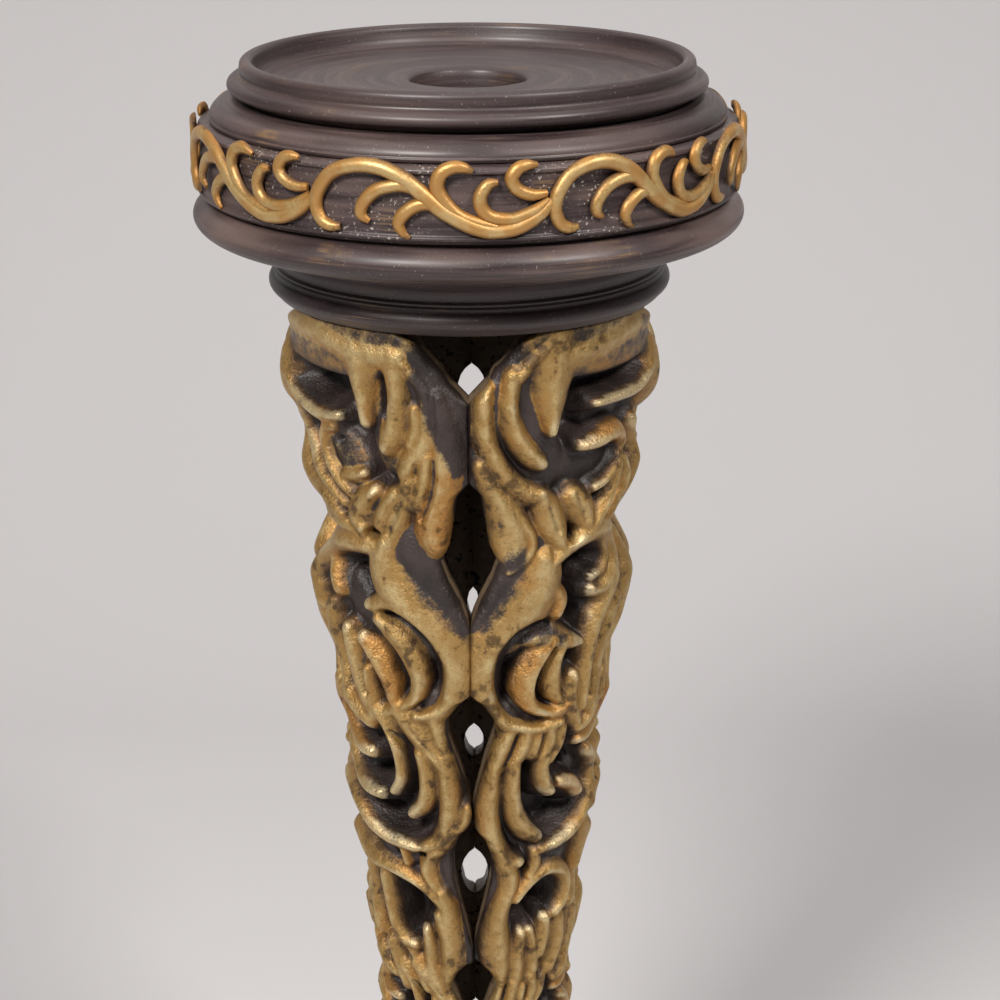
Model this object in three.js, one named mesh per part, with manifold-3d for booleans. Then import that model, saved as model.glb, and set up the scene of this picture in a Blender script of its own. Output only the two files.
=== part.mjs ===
// A short torchere candle stand in millimetres, +Z up. The origin is on the floor, under the middle
// of the foot, and the front faces -Y.
import * as THREE from 'three';
import { mergeVertices } from 'three/addons/utils/BufferGeometryUtils.js';
import Module from 'manifold-3d';

const wasm = await Module();
wasm.setup();

// Fits
const seatGap = 0.1; // between flat faces that rest on each other
const fitGap = 0.3; // round spigots, dowels and screws, and between neighbours on the ring

// Smoothness
const turnedSides = 36;
const pinSides = 10;

// Heights of the stack, from the floor up
const feltThickness = 1.5;
const plinthHeight = 15;
const domeHeight = 24;
const collarHeight = 9.5;
const neckHeight = 12;
const torusHeight = 8.6;
const friezeHeight = 14;
const shoulderHeight = 4.2;
const trayHeight = 6.2;

// Candle socket and dish
const socketRadius = 11; // a 22 mm taper candle
const socketDepth = 20; // below the dish floor
const dishRadius = 41.3;
const dishDepth = 3.2; // below the outer edge of the lip
const lipHeight = 1.2; // half-round lip above its outer edge
const lipWidth = 2.6;
const trayRadius = 46.4;
const traySpigotRadius = 30;

// Mouldings under the tray
const shoulderRadius = 50.2;
const friezeRadius = 52.3;
const friezeFillet = 0.9;
const torusRadius = 53.8;
const drumSpigotRadius = 24;
const neckTopRadius = 45;
const neckThroatRadius = 37.9;
const neckBeadRadius = 39.6;

// Applied scroll round the drum
const scrollRelief = 1.5;
const scrollWidth = 2.2;
const scrollClearance = 0.3; // bed of glue behind the ornament
const scrollMargin = 0.5; // of the band, above and below the ornament
const cutLengths = [49.4, 47.7, 41.7]; // degrees of the three hand-cut lengths at the front
const scrollCount = 8;
const firstScrollAngle = -80.6; // from the front, towards the left

// One length of the scroll: points along it as a share of its length, and up the band likewise
const scrollStrokes = [
  [[0.15, 0.13], [0.07, 0.18], [0.035, 0.42], [0.06, 0.7], [0.13, 0.9], [0.25, 1], [0.38, 0.9], [0.5, 0.6]],
  [[0.47, 0.7], [0.38, 0.77], [0.28, 0.67], [0.235, 0.45], [0.26, 0.25]],
  [[0.55, 0.5], [0.47, 0.52], [0.4, 0.35], [0.41, 0.1]],
  [[0.66, 0.98], [0.59, 0.99], [0.545, 0.75], [0.58, 0.5], [0.65, 0.32], [0.75, 0.2]],
  [[0.47, 0.6], [0.56, 0.46], [0.67, 0.24], [0.77, 0.17], [0.86, 0.22], [0.95, 0.5]],
  [[0.77, 0.8], [0.72, 0.6], [0.74, 0.38], [0.84, 0.3], [0.95, 0.52]],
  [[0.92, 1], [0.85, 0.92], [0.86, 0.7], [0.96, 0.58]],
];

// Shaft: seven carved tiers from the neck down. Each outline point is a share of the tier's height
// and the shaft's radius there.
const tiers = [
  { height: 47, outline: [[0, 37.4], [0.19, 37.4], [0.3, 38.4], [0.39, 38], [0.53, 34.6], [0.61, 33.9],
    [0.72, 35.3], [0.83, 33.6]] },
  { height: 38, outline: [[0, 30.4], [0.16, 32.5], [0.28, 34.1], [0.42, 33.2], [0.55, 32], [0.71, 29],
    [0.84, 29.7]] },
  { height: 30, outline: [[0, 29.4], [0.23, 26.1], [0.37, 27.9], [0.51, 26.3], [0.67, 27.9], [0.8, 26.5],
    [0.91, 27.3]] },
  { height: 30, outline: [[0, 26.2], [0.18, 24.3], [0.32, 22.4], [0.6, 24.2], [0.87, 22.5]] },
  { height: 26, outline: [[0, 20.4], [0.31, 22.1], [0.54, 21.7], [0.73, 20.3], [0.88, 21]] },
  { height: 22, outline: [[0, 20.4], [0.27, 18.4], [0.55, 19.7], [0.91, 18]] },
  { height: 17, outline: [[0, 17.6], [0.35, 18.2], [0.7, 17.2], [1, 16.5]] },
];
const coreTopRadius = 28.5; // the open middle of the shaft
const coreFootRadius = 8;
const legCount = 4;
const legFaces = 16; // facets round one leg's outside
const innerFaces = 4; // facets round its inside, a divisor of half of them
const rowSpacing = 3.1; // least height between two rows of a leg's facets
const legWall = 1.6; // least thickness over the open middle

// Smooth taper under the carving: depth below the neck and radius. The outline takes over from it
// between two angles off the leg's front or rear seam.
const taper = [[0, 38], [47, 34], [85, 31], [115, 27.8], [145, 24.4], [171, 21.5], [210, 17]];
const outlineFrom = 48;
const outlineFull = 76;
const edgeDrop = 2; // of the carving along the seams

// Openings between neighbouring legs: depth below the neck and half width. The ones at the rear lie
// where the stand can be seen through.
const frontSlot = [
  [0, 12.8], [2, 9.5], [5, 7.2], [8, 4.6], [10, 3.6], [12, 1.8], [14, 0], [30, 0], [33, 2.2], [37, 2.8],
  [43, 3.8], [47, 5.6], [51, 4.2], [55, 2.2], [59, 0.6], [61, 0], [75, 0], [78, 2.8], [81, 4.6], [85, 4.6],
  [92, 2.5], [102, 0], [106, 0], [109, 2.6], [113, 3.8], [119, 3.8], [127, 2.2], [136, 0], [139, 0],
  [145, 5], [149, 3.2], [160, 0], [164, 0], [170, 2.8], [174, 2.8], [184, 0], [188, 0], [194, 2.8],
  [198, 1.6], [205, 0],
];
const rearSlot = [
  [0, 0], [23, 0], [25, 1.9], [27.5, 3], [30.5, 3], [32.6, 1.8], [34, 0], [72, 0], [74, 1.2], [79, 1.2],
  [81, 0], [103, 0], [104.5, 1.7], [107, 2.2], [109.5, 1.7], [111, 0], [132, 0], [133.5, 1.8], [136, 3],
  [139, 3], [141.5, 1.8], [143, 0], [168, 0], [171, 2.4], [177, 2.4], [180, 0], [192, 0], [195, 2],
  [199, 1.2], [204, 0],
];

// Carving of the four tiers in the photo, drawn on these heights. A stroke's points are degrees off
// the front or rear seam, depth below the neck, and width; drop is how far it lies under the outline,
// and rise flattens it. The tiers below take the carving of a tier above.
const drawnHeights = [47, 38, 30, 30];
const carvedAs = [0, 1, 2, 3, 2, 3, 2];
const groundDepth = [4.8, 4.6, 4.2, 3.8, 3.4, 3, 2.4]; // under the outline, for each tier
const carving = {
  left: [
    [
      { drop: 1, rise: 0.3, path: [[89, 3, 13], [45, 3, 13], [20, 3, 11]] },
      { drop: 0.3, path: [
        [89, 4, 10], [70, 4, 10], [50, 4.2, 9.6], [40, 4.8, 9.4], [30, 5.4, 9], [21, 5, 7.4]] },
      { drop: 1, rise: 0.5, path: [[20, 3, 9], [15, 8, 11], [9, 12, 11], [6, 18, 9]] },
      { drop: 2.4, rise: 0.5, path: [[24, 10, 12], [26, 16, 11], [24, 24, 11]] },
      { drop: 0, path: [[35.4, 7, 9], [35.2, 11, 6.6], [34.4, 15, 4.8], [33.8, 18.6, 2.8]] },
      { drop: 0, path: [
        [23, 5, 8], [22.4, 10, 5.8], [22.6, 14, 5.6], [24, 18, 6], [25.5, 21, 6], [26.8, 23.2, 4.4]] },
      { drop: 0.3, path: [
        [13, 13, 3.4], [13, 18, 4.6], [15, 22.5, 6.2], [18.5, 26, 6.6], [20.7, 28.3, 5]] },
      { drop: 1.6, rise: 0.5, path: [[3, 18, 7], [2.5, 26, 8], [3, 34, 7], [5, 40, 5]] },
      { drop: 0, path: [
        [7.5, 16, 3], [7.2, 20, 7], [8, 26, 7.6], [10, 31, 8.4], [11.8, 36, 9], [12, 40, 8.8],
        [11, 42.4, 7]] },
      { drop: 0.3, path: [[20, 30, 4], [22.5, 35, 5], [26, 39.4, 5.6], [28.5, 43.6, 3.4]] },
      { drop: 0.8, path: [[25, 33, 4], [29, 35.8, 5], [32.5, 40, 4.6]] },
      { drop: 0.1, path: [[33, 33.4, 4], [38, 35.8, 6.8], [41.5, 39.2, 6.6], [38.6, 41.6, 4.4]] },
      { drop: 1.9, rise: 0.7, path: [[53, 23, 5], [47, 27, 9], [42.5, 29.6, 9], [39, 32, 6]] },
      { drop: 0, path: [[88, 4, 9], [83, 9, 9], [81, 14, 9], [82, 20, 8]] },
      { drop: 0.4, path: [
        [50, 40, 4], [60, 37.4, 5], [72, 36.5, 5], [82, 32, 5], [86, 26.5, 4.6], [82, 22.5, 3.6]] },
      { drop: 0.9, path: [[44, 42.4, 3], [56, 41.6, 4.4], [70, 42.4, 5], [84, 42, 5]] },
    ],
    [
      { drop: 0.3, path: [
        [30, 44.6, 4.4], [38, 44.8, 5], [48, 45.2, 5.2], [58, 46.6, 5.2], [68, 49.6, 5.4],
        [76, 53, 5.6], [80, 58, 5], [76, 64, 3.6]] },
      { drop: 0.8, rise: 0.45, path: [[24, 44, 10], [16, 48, 13], [9, 54, 11], [5, 60, 8]] },
      { drop: 3.4, rise: 0.5, path: [[58, 58, 8], [52, 61, 9], [46, 62, 6]] },
      { drop: 0, path: [
        [29, 43.6, 5], [31, 47.5, 8.4], [29.5, 51, 10.5], [25, 54.4, 11], [18, 58, 11.5],
        [11.5, 62, 11], [8, 66, 8.6], [6.6, 70, 7], [7, 74, 6.2], [9.5, 77.6, 4.8], [15, 79.6, 3.4],
        [22, 80.2, 2.6]] },
      { drop: 0.7, path: [[28.5, 55.6, 6], [34, 57.2, 4.4], [39, 57.6, 2.4]] },
      { drop: 0.2, path: [
        [36, 60.6, 2.4], [32, 62.6, 4.6], [26.6, 65.4, 5.6], [22.2, 69, 5.2], [20.4, 72.6, 4],
        [22, 76.2, 3.2], [27, 78.4, 2.4]] },
      { drop: 0.3, path: [
        [41, 64.2, 2.6], [37.4, 66.6, 4.4], [33, 69.6, 4.6], [30.6, 73, 4.6], [30, 76.4, 3.6],
        [28, 78.6, 2.2]] },
      { drop: 0.6, path: [[49, 63.6, 3], [50.5, 68, 4.6], [49.5, 73, 5], [46, 78, 5], [42, 81.6, 3.8]] },
      { drop: 0.5, path: [[41, 73, 3], [41.5, 77, 4.6], [40, 80.8, 3.8]] },
      { drop: 0.3, path: [[60, 61, 3.5], [61.5, 66, 5.6], [60, 72, 5.6], [54, 79, 4.4]] },
      { drop: 0.3, path: [[74, 62, 4], [76, 68, 5.4], [72, 75, 5], [64, 81, 3.6]] },
      { drop: 0.3, path: [[88, 60, 5], [88, 68, 5.4], [87, 77, 5]] },
      { drop: 0.8, path: [[26, 79, 4], [34, 80.6, 4], [42, 82, 3.4]] },
    ],
    [
      { drop: 1.4, rise: 0.5, path: [[14, 80, 9], [8, 86, 9], [4, 92, 6]] },
      { drop: 0.2, path: [[13.6, 80.4, 4.6], [11.6, 84.5, 5.4], [9.4, 88.4, 4.6]] },
      { drop: 0.2, path: [[29, 79.4, 5], [22.5, 82.6, 6.2], [17, 86.4, 6], [12.4, 90, 4.4]] },
      { drop: 0.3, path: [
        [39, 81, 4.6], [34.5, 83.6, 4], [31.2, 88, 3.6], [29.6, 92.4, 3.6], [30.4, 96, 3.4],
        [33.6, 98.6, 2.6]] },
      { drop: 0, path: [[60, 80, 5.4], [51, 82.4, 5.8], [44, 84, 4.4]] },
      { drop: 0.4, path: [[76, 80, 5], [70, 85, 5.6], [60, 90, 4.4], [52, 91.2, 4], [45, 91.6, 2.8]] },
      { drop: 0.6, path: [[78, 94, 5], [66, 99, 4.6], [53, 100.8, 4.4], [42.6, 101, 3]] },
      { drop: 0, path: [
        [20.6, 88.6, 3], [18.2, 93, 5], [18, 97.4, 5], [20.8, 101, 4.2], [25.4, 103.2, 2.8]] },
      { drop: 0, path: [
        [11, 90, 3.6], [8, 93.4, 5.8], [6.6, 98, 6.8], [6.8, 103, 7], [9, 107, 7], [13.4, 109.8, 5.4],
        [19, 110.6, 3.6]] },
      { drop: 0.3, path: [
        [88, 104, 5], [72, 105, 5], [59, 107.2, 4.6], [50, 109.2, 4.4], [41, 110.6, 4], [33, 111, 3.8],
        [25, 111.2, 3.4], [20, 110.6, 3]] },
      { drop: 0.3, path: [[88, 92, 5], [82, 95, 4.6]] },
      { drop: 1.3, rise: 0.5, path: [[12, 111, 7], [10, 116, 8], [6, 122, 7]] },
      { drop: 1.6, rise: 0.5, path: [[44, 113.6, 4], [34, 114.6, 4], [24, 114, 4]] },
      { drop: 0.3, path: [[15, 111.6, 3.6], [19.4, 113.8, 4.4], [20.4, 117, 4.4], [17.4, 120.4, 3.6]] },
    ],
    [
      { drop: 0.1, path: [
        [72, 114, 6], [62, 116.4, 7], [52, 117.4, 6], [41, 117.6, 4.4], [32, 118.4, 3.8],
        [24, 120, 3.6], [17, 122.4, 3.6], [11, 125, 3.6]] },
      { drop: 0, path: [[9.6, 123, 4.6], [7.6, 128, 8], [7, 133, 8.6], [7.8, 137, 7.6], [10.4, 141.4, 5]] },
      { drop: 0.1, path: [[15, 126.6, 3], [13, 129.4, 5], [11.4, 133, 4.6]] },
      { drop: 0.3, path: [[22, 130.6, 2.6], [21, 135, 4.4], [21, 139.4, 5.4], [20.4, 144.6, 5]] },
      { drop: 0.5, path: [
        [46, 120.6, 4], [44.6, 126, 4.6], [42.6, 132, 4.4], [37, 135.4, 4], [30.4, 136, 3.4]] },
      { drop: 0.3, path: [[62, 121, 5], [60, 128, 5.6], [55, 135, 5]] },
      { drop: 0.5, path: [[33, 138, 4], [29, 142, 5], [26, 146, 4]] },
      { drop: 0.3, path: [[46, 137, 5], [42, 141.6, 5.4], [38, 146, 4]] },
      { drop: 0.3, path: [[84, 122, 5], [80, 129, 6], [72, 136, 5.6], [62, 141, 4.4], [54, 145, 4]] },
      { drop: 0.3, path: [[86, 134, 5], [84, 140, 6], [76, 145, 4.4]] },
      { drop: 1.4, rise: 0.5, path: [[3, 126, 5], [2.6, 134, 5]] },
    ],
  ],
  right: [
    [
      { drop: 1, rise: 0.3, path: [[89, 3, 13], [45, 3, 13], [24, 3, 11]] },
      { drop: 0.3, path: [
        [89, 4, 10], [70, 4, 10], [60, 4.2, 9.4], [50, 4.8, 8.4], [41, 5.4, 8], [33, 5.6, 8.4]] },
      { drop: 1, rise: 0.5, path: [[22, 3, 10], [16, 7, 11], [9, 12, 11], [4, 18, 9]] },
      { drop: 2.4, rise: 0.5, path: [[24, 10, 12], [21, 18, 11], [26, 28, 10]] },
      { drop: 0, path: [
        [28.4, 2, 8], [27.4, 7, 10.4], [27, 11, 9], [27, 15, 6.6], [27, 18.4, 4], [27, 20.2, 2.2]] },
      { drop: 0, path: [
        [13, 8, 3.6], [12.4, 12.6, 4.2], [13, 17, 4.4], [16, 21.5, 4.6], [20.5, 25, 4.4],
        [23.8, 26.6, 2.8]] },
      { drop: 0, path: [
        [4.6, 10.6, 3.6], [4.5, 18, 4.6], [6, 22.5, 4.8], [9.5, 27, 5], [14.5, 30.7, 5],
        [20.5, 32.9, 4.8], [24, 33, 3.2]] },
      { drop: 1.6, rise: 0.5, path: [[2, 24, 6], [3, 32, 7], [7, 40, 7], [9, 44, 6]] },
      { drop: 0, path: [
        [3.4, 26, 3], [7.6, 32, 5.4], [12, 37.6, 8.6], [13.6, 42.4, 11], [13.6, 45.4, 9.4]] },
      { drop: 0.3, path: [
        [39.6, 24.4, 2.2], [46, 24.3, 3.4], [52, 23.8, 4.4], [57, 23.8, 4.8], [61, 25, 4], [64, 27, 3]] },
      { drop: 0.3, path: [[25, 34, 5], [28, 38, 7.8], [31.5, 42, 6.4], [34, 45, 3]] },
      { drop: 0.3, path: [[37, 35, 6], [42, 37.6, 7.4], [44.6, 41, 5.6]] },
      { drop: 0.4, path: [[66, 31, 3.4], [68, 37, 5], [60, 42, 4.4]] },
      { drop: 0.3, path: [[76, 25, 4], [82, 30, 5.4], [80, 37, 5.4], [72, 42.4, 5]] },
      { drop: 0, path: [[88, 4, 9], [83, 9, 9], [81, 14, 9], [83, 20, 8]] },
      { drop: 0.3, path: [[89, 30, 4], [88, 37, 5], [84, 43, 5]] },
      { drop: 2.8, rise: 0.5, path: [[58, 29, 10], [44, 29.5, 11], [32, 29, 9]] },
    ],
    [
      { drop: 0.1, path: [
        [30.4, 47.6, 2.6], [35, 45.6, 4], [42, 44, 4.6], [52, 43.4, 5], [61, 45.6, 5.4],
        [66.4, 50, 5.4], [63, 53.8, 4.4], [55, 55.6, 3.4], [49, 55.6, 2.6]] },
      { drop: 0.2, path: [[76, 50, 5], [80, 56, 5.4], [74, 62, 5]] },
      { drop: 0.9, rise: 0.45, path: [[22, 45, 9], [14, 49, 12], [8, 55, 10], [4.6, 61, 7]] },
      { drop: 0, path: [
        [26, 47.4, 6], [25, 50.4, 10.4], [21.6, 54, 13], [15.4, 58.2, 12.4], [9.6, 62.6, 10.6],
        [6.6, 66.6, 8.6], [5.4, 70.4, 7.4], [5.6, 74.4, 6.8], [8.2, 78.6, 5.4], [13.4, 81.6, 4],
        [21, 83.3, 3], [30, 84, 2.4], [37, 83.4, 1.8]] },
      { drop: 1.2, path: [[30.6, 53.4, 3], [34.4, 56.6, 4.2], [33.4, 59, 3]] },
      { drop: 1.2, rise: 0.6, path: [[17, 61, 5], [22, 62.2, 6], [29, 63.6, 6]] },
      { drop: 0.3, path: [[24, 63.6, 3], [30, 64.8, 4.4], [37, 66, 3.4], [44, 66.9, 2]] },
      { drop: 0.1, path: [
        [29.4, 65, 1.8], [26, 68.4, 3.6], [22, 72, 5.2], [20.4, 75.6, 5.2], [22.8, 79, 4],
        [28.4, 80.7, 3], [35, 81, 2.8], [40.6, 80, 2.6]] },
      { drop: 0.6, path: [[34, 66.4, 2], [32, 69.6, 4], [31.4, 73.4, 5.2], [32.6, 77, 4.2], [35, 79, 2]] },
      { drop: 0.1, path: [
        [65, 55.4, 3.4], [60.6, 58, 5], [55, 62.4, 5], [51.6, 67, 4.4], [50, 72, 4], [49, 77, 3.4],
        [48.4, 81, 2.6]] },
      { drop: 0.2, path: [[66, 62, 4], [61.4, 67, 5], [58.6, 72, 4.8], [56.4, 78, 4.2], [53, 83, 3.2]] },
      { drop: 0.3, path: [[42.6, 75, 3], [41.4, 78.6, 5.2], [43.4, 82, 4.8], [45.4, 84.2, 3]] },
      { drop: 0.3, path: [[78, 62, 4.6], [72, 68, 5.2], [67, 75, 5], [62, 82, 3.8]] },
      { drop: 0.3, path: [[89, 62, 5], [85, 70, 5.4], [79, 78, 5], [74, 83, 4]] },
    ],
    [
      { drop: 1.4, rise: 0.5, path: [[14, 82, 8], [9, 88, 8], [5, 94, 6]] },
      { drop: 1.4, rise: 0.5, path: [[20, 84, 4], [30, 84.6, 4], [40, 84, 4]] },
      { drop: 0.3, path: [[15, 84.4, 4], [12.4, 87.4, 5.6], [9.8, 91.4, 4.6]] },
      { drop: 0.1, path: [[22.4, 84.4, 4], [21, 87.4, 5.4], [17, 90.6, 3.6]] },
      { drop: 0.3, path: [[27, 86.2, 3], [25.4, 88.8, 4.4]] },
      { drop: 0.1, path: [[31.6, 84, 3.6], [32.6, 86.6, 5], [29.6, 90, 3]] },
      { drop: 0.1, path: [[58, 82, 4.4], [52, 85.4, 3.8], [46, 86.2, 2.6]] },
      { drop: 0.3, path: [[76, 83, 5], [64, 87, 4.4], [54, 88.8, 3.8], [47.4, 89, 2.6]] },
      { drop: 0.2, path: [[31, 90, 2.4], [29.4, 93, 4], [31, 96.4, 4.4], [34, 98.8, 2.8]] },
      { drop: 0, path: [
        [18, 91.2, 2.6], [16.4, 95, 4.4], [16.6, 99, 4.6], [18.8, 103.4, 5.2], [23, 107.2, 5],
        [28.6, 109.2, 3]] },
      { drop: 0, path: [
        [7.8, 92.6, 4.4], [6.8, 98, 6.6], [6.4, 103, 7], [7.6, 107.6, 7], [11, 111.6, 5.6],
        [15, 113.8, 3.8], [20, 114.6, 2.2]] },
      { drop: 0.1, path: [
        [58, 93.6, 3.4], [66, 96.4, 4.6], [70, 101, 5], [64, 106, 5], [56, 109, 4.4], [47, 111.2, 3.8],
        [38, 112.2, 3.2], [31, 112.4, 2.4]] },
      { drop: 0.3, path: [[88, 88, 5], [84, 95, 5], [84, 103, 5], [78, 109, 4]] },
      { drop: 0.2, path: [[62, 110, 4], [64, 115.6, 5.4], [60, 121, 5]] },
    ],
    [
      { drop: 1.3, rise: 0.5, path: [[10, 113.6, 8], [7, 119, 8], [4.4, 126, 6]] },
      { drop: 1.4, rise: 0.5, path: [[36, 114.4, 5], [45, 115.6, 5]] },
      { drop: 0, path: [
        [13, 114.6, 4], [16.6, 117, 5.6], [17.4, 120.6, 5], [13.6, 124.6, 5.6], [10, 128.6, 6.6],
        [9.6, 133, 9], [9.8, 137, 8.6], [11.6, 141.4, 5.2]] },
      { drop: 0.1, path: [
        [20.6, 123.4, 2], [25, 120.6, 2.6], [31, 118.4, 3], [38, 117.8, 3.4], [45, 119.4, 3.8],
        [49.4, 123, 4], [48, 127, 3.8], [43, 129.4, 2.6]] },
      { drop: 0.3, path: [[72, 114, 5], [74, 121, 6], [66, 127, 5.4], [56, 129, 4]] },
      { drop: 0.3, path: [[37.6, 130.4, 3.4], [37.4, 134, 6], [35.4, 138, 4]] },
      { drop: 0.3, path: [[24, 132.4, 2.8], [23, 137, 4], [23.4, 143, 4.4]] },
      { drop: 0.5, path: [[28, 131.8, 2], [30.4, 136, 3.2], [32.6, 142, 4]] },
      { drop: 0.3, path: [[47, 131.6, 4.4], [48, 137, 5.6], [43, 143, 5]] },
      { drop: 0.3, path: [[62, 130, 5], [62, 136, 6], [56, 143, 5]] },
      { drop: 0.3, path: [[84, 122, 5], [84, 130, 6], [78, 138, 6], [70, 144, 5]] },
    ],
  ],
};

// Hollows between the strokes, under the ground: degrees, depth below the neck, half width in
// degrees, half height, and how deep
const hollows = {
  left: [
    [[57, 12.4, 17, 4.4, 4.6], [32, 26, 8.5, 5.4, 2.4], [63, 26, 7, 4, 2.6]],
    [[50, 52.4, 15, 5, 5], [48, 62, 8, 3.6, 2.6]],
    [[36, 104, 17, 4.6, 3.4], [42, 94, 12, 6, 3.4]],
    [[28, 127, 13, 6.4, 4]],
  ],
  right: [
    [[50, 10.4, 20, 4.4, 4.4], [35, 19, 8, 5.6, 3], [46, 30, 13, 4, 2]],
    [[46, 50.6, 13, 5, 5], [46, 59, 11, 5, 4.4], [40, 71, 5.4, 3.6, 2.4]],
    [[37, 104, 14, 6, 3.6], [39, 91.6, 6.4, 6, 3.4]],
    [[29.6, 126, 12.4, 5.8, 4]],
  ],
};

// Dowels and screws
const dowelRadius = 2.5;
const dowelLength = 12;
const dowelCircle = 32;
const screwRadius = 1.8;
const screwHeadRadius = 3.6;
const screwHeadHeight = 2.2;
const counterboreExtra = 0.8; // of the recess over the screw head, in depth
const legScrewLength = 20;
const legScrewCircle = 12.2;
const neckScrewCount = 3;
const neckScrewLength = 18;
const neckScrewCircle = 18;

// Foot
const collarTopRadius = 20;
const collarRadius = 28.6;
const domeTopRadius = 26;
const domeRadius = 51;
const plinthRadius = 57.5;
const feltRadius = 54;
const boltRadius = 3; // M6
const boltHeadAcross = 10; // across the hexagon's flats
const boltHeadHeight = 4;
const boltStickOut = 1.5; // above the nut
const nutHeight = 5;
const washerRadius = 9;
const washerThickness = 1.2;
const recessRadius = 12;
const recessDepth = 6;

// Heights of the joints between the pieces
const plinthBase = feltThickness;
const domeBase = plinthBase + plinthHeight;
const collarBase = domeBase + domeHeight;
const legFoot = collarBase + collarHeight;
const shaftLength = tiers.reduce((sum, tier) => sum + tier.height, 0);
const legTop = legFoot + shaftLength;
const neckTop = legTop + neckHeight;
const drumBase = neckTop + torusHeight;
const drumTop = drumBase + friezeHeight;
const trayBase = drumTop + shoulderHeight;
const trayEdge = trayBase + trayHeight;
const dishFloor = trayEdge - dishDepth;
const socketFloor = dishFloor - socketDepth;

const paint = { dark: 0x3b3230, gold: 0xa8803f, bronze: 0x4a4038, wood: 0xb08a5c, steel: 0x8f9092 };

function finish(color, roughness, metalness) {
  return new THREE.MeshStandardMaterial({ color, roughness, metalness });
}

const darkPaint = finish(paint.dark, 0.5, 0.2);
const rubbedGold = finish(paint.gold, 0.4, 0.6);
const carvedBronze = finish(paint.bronze, 0.45, 0.4);
const bareWood = finish(paint.wood, 0.8, 0);
const zincSteel = finish(paint.steel, 0.35, 0.9);
const blackFelt = finish(0x1d1b1a, 1, 0);

const stand = new THREE.Group();

function addPiece(name, geometry, material) {
  const mesh = new THREE.Mesh(geometry, material);
  mesh.name = name;
  stand.add(mesh);
  return mesh;
}

// Turned solid from its outline of [radius, height] points, which run up the outside
function turned(points, sides = turnedSides) {
  const outline = points.map(([radius, height]) => new THREE.Vector2(radius, height));
  if (points[0][0] > 0) outline.push(outline[0].clone());
  return new THREE.LatheGeometry(outline, sides).rotateX(Math.PI / 2);
}

// Points of an elliptical arc between two angles in degrees, for turned outlines
function arc(radius, height, halfWidth, halfHeight, from, to, steps) {
  const points = [];
  for (let i = 0; i <= steps; i += 1) {
    const angle = THREE.MathUtils.degToRad(from + ((to - from) * i) / steps);
    points.push([radius + halfWidth * Math.cos(angle), height + halfHeight * Math.sin(angle)]);
  }
  return points;
}

function rod(radius, low, high, sides = pinSides) {
  return new THREE.CylinderGeometry(radius, radius, high - low, sides)
    .rotateX(Math.PI / 2)
    .translate(0, 0, (low + high) / 2);
}

// Closed mesh to solid, with corners on the axis closed up
function toSolid(geometry) {
  const bare = new THREE.BufferGeometry();
  bare.setAttribute('position', geometry.getAttribute('position'));
  if (geometry.index) bare.setIndex(geometry.index);
  const merged = mergeVertices(bare, 1e-4);
  const index = merged.index.array;
  const faces = [];
  for (let i = 0; i < index.length; i += 3) {
    const [a, b, c] = [index[i], index[i + 1], index[i + 2]];
    if (a !== b && b !== c && c !== a) faces.push(a, b, c);
  }
  const vertProperties = new Float32Array(merged.getAttribute('position').array);
  const triVerts = new Uint32Array(faces);
  return new wasm.Manifold(new wasm.Mesh({ numProp: 3, vertProperties, triVerts }));
}

function toGeometry(solid) {
  const mesh = solid.getMesh();
  const geometry = new THREE.BufferGeometry();
  geometry.setAttribute('position', new THREE.BufferAttribute(mesh.vertProperties, 3));
  geometry.setIndex(new THREE.BufferAttribute(mesh.triVerts, 1));
  geometry.computeVertexNormals();
  return geometry;
}

function cut(geometry, cutters) {
  const solid = cutters.reduce((rest, cutter) => rest.subtract(toSolid(cutter)), toSolid(geometry));
  return toGeometry(solid);
}

function around(count, radius, turn = 0) {
  return Array.from({ length: count }, (_, i) => {
    const angle = turn + (i * 2 * Math.PI) / count;
    return [radius * Math.cos(angle), radius * Math.sin(angle)];
  });
}

const legAngles = Array.from({ length: legCount },
  (_, i) => ((i + 0.5) * 2 * Math.PI) / legCount - Math.PI / 2);
const legCentres = (radius) => legAngles.map((angle) => [radius * Math.cos(angle), radius * Math.sin(angle)]);

// Foot
function plinth() {
  const [low, high] = [plinthBase + seatGap, domeBase];
  const torus = arc(plinthRadius - 4, low + plinthHeight * 0.45, 4, plinthHeight * 0.32, -60, 75, 5);
  return turned([
    [boltRadius + fitGap, low + recessDepth],
    [recessRadius, low + recessDepth],
    [recessRadius, low],
    [plinthRadius - 2.8, low],
    ...torus,
    [domeRadius + 1.4, high - 2.6],
    [domeRadius + 1.4, high],
    [boltRadius + fitGap, high],
  ]);
}

function dome() {
  const [low, high] = [domeBase + seatGap, collarBase];
  const rise = high - low;
  return turned([
    [boltRadius + fitGap, low],
    [domeRadius, low],
    [domeRadius - 0.6, low + rise * 0.12],
    [domeRadius - 5, low + rise * 0.3],
    [domeRadius - 13, low + rise * 0.44],
    [domeRadius - 19.5, low + rise * 0.58],
    [domeTopRadius + 1, low + rise * 0.78],
    [domeTopRadius, high],
    [boltRadius + fitGap, high],
  ]);
}

function collar() {
  const [low, high] = [collarBase + seatGap, legFoot];
  const bead = arc(collarRadius - 2.6, low + 4, 2.6, 3, -70, 80, 5);
  const body = turned([
    [boltRadius + fitGap, low],
    [domeTopRadius, low],
    ...bead,
    [collarTopRadius + 2, high - 1.6],
    [collarTopRadius, high],
    [boltRadius + fitGap, high],
  ]);
  const bores = legCentres(legScrewCircle).flatMap(([x, y]) => [
    rod(screwRadius + fitGap, low - 1, high + 1).translate(x, y, 0),
    rod(screwHeadRadius + fitGap, low - 1, low + screwHeadHeight + counterboreExtra).translate(x, y, 0),
  ]);
  return cut(body, bores);
}

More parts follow.
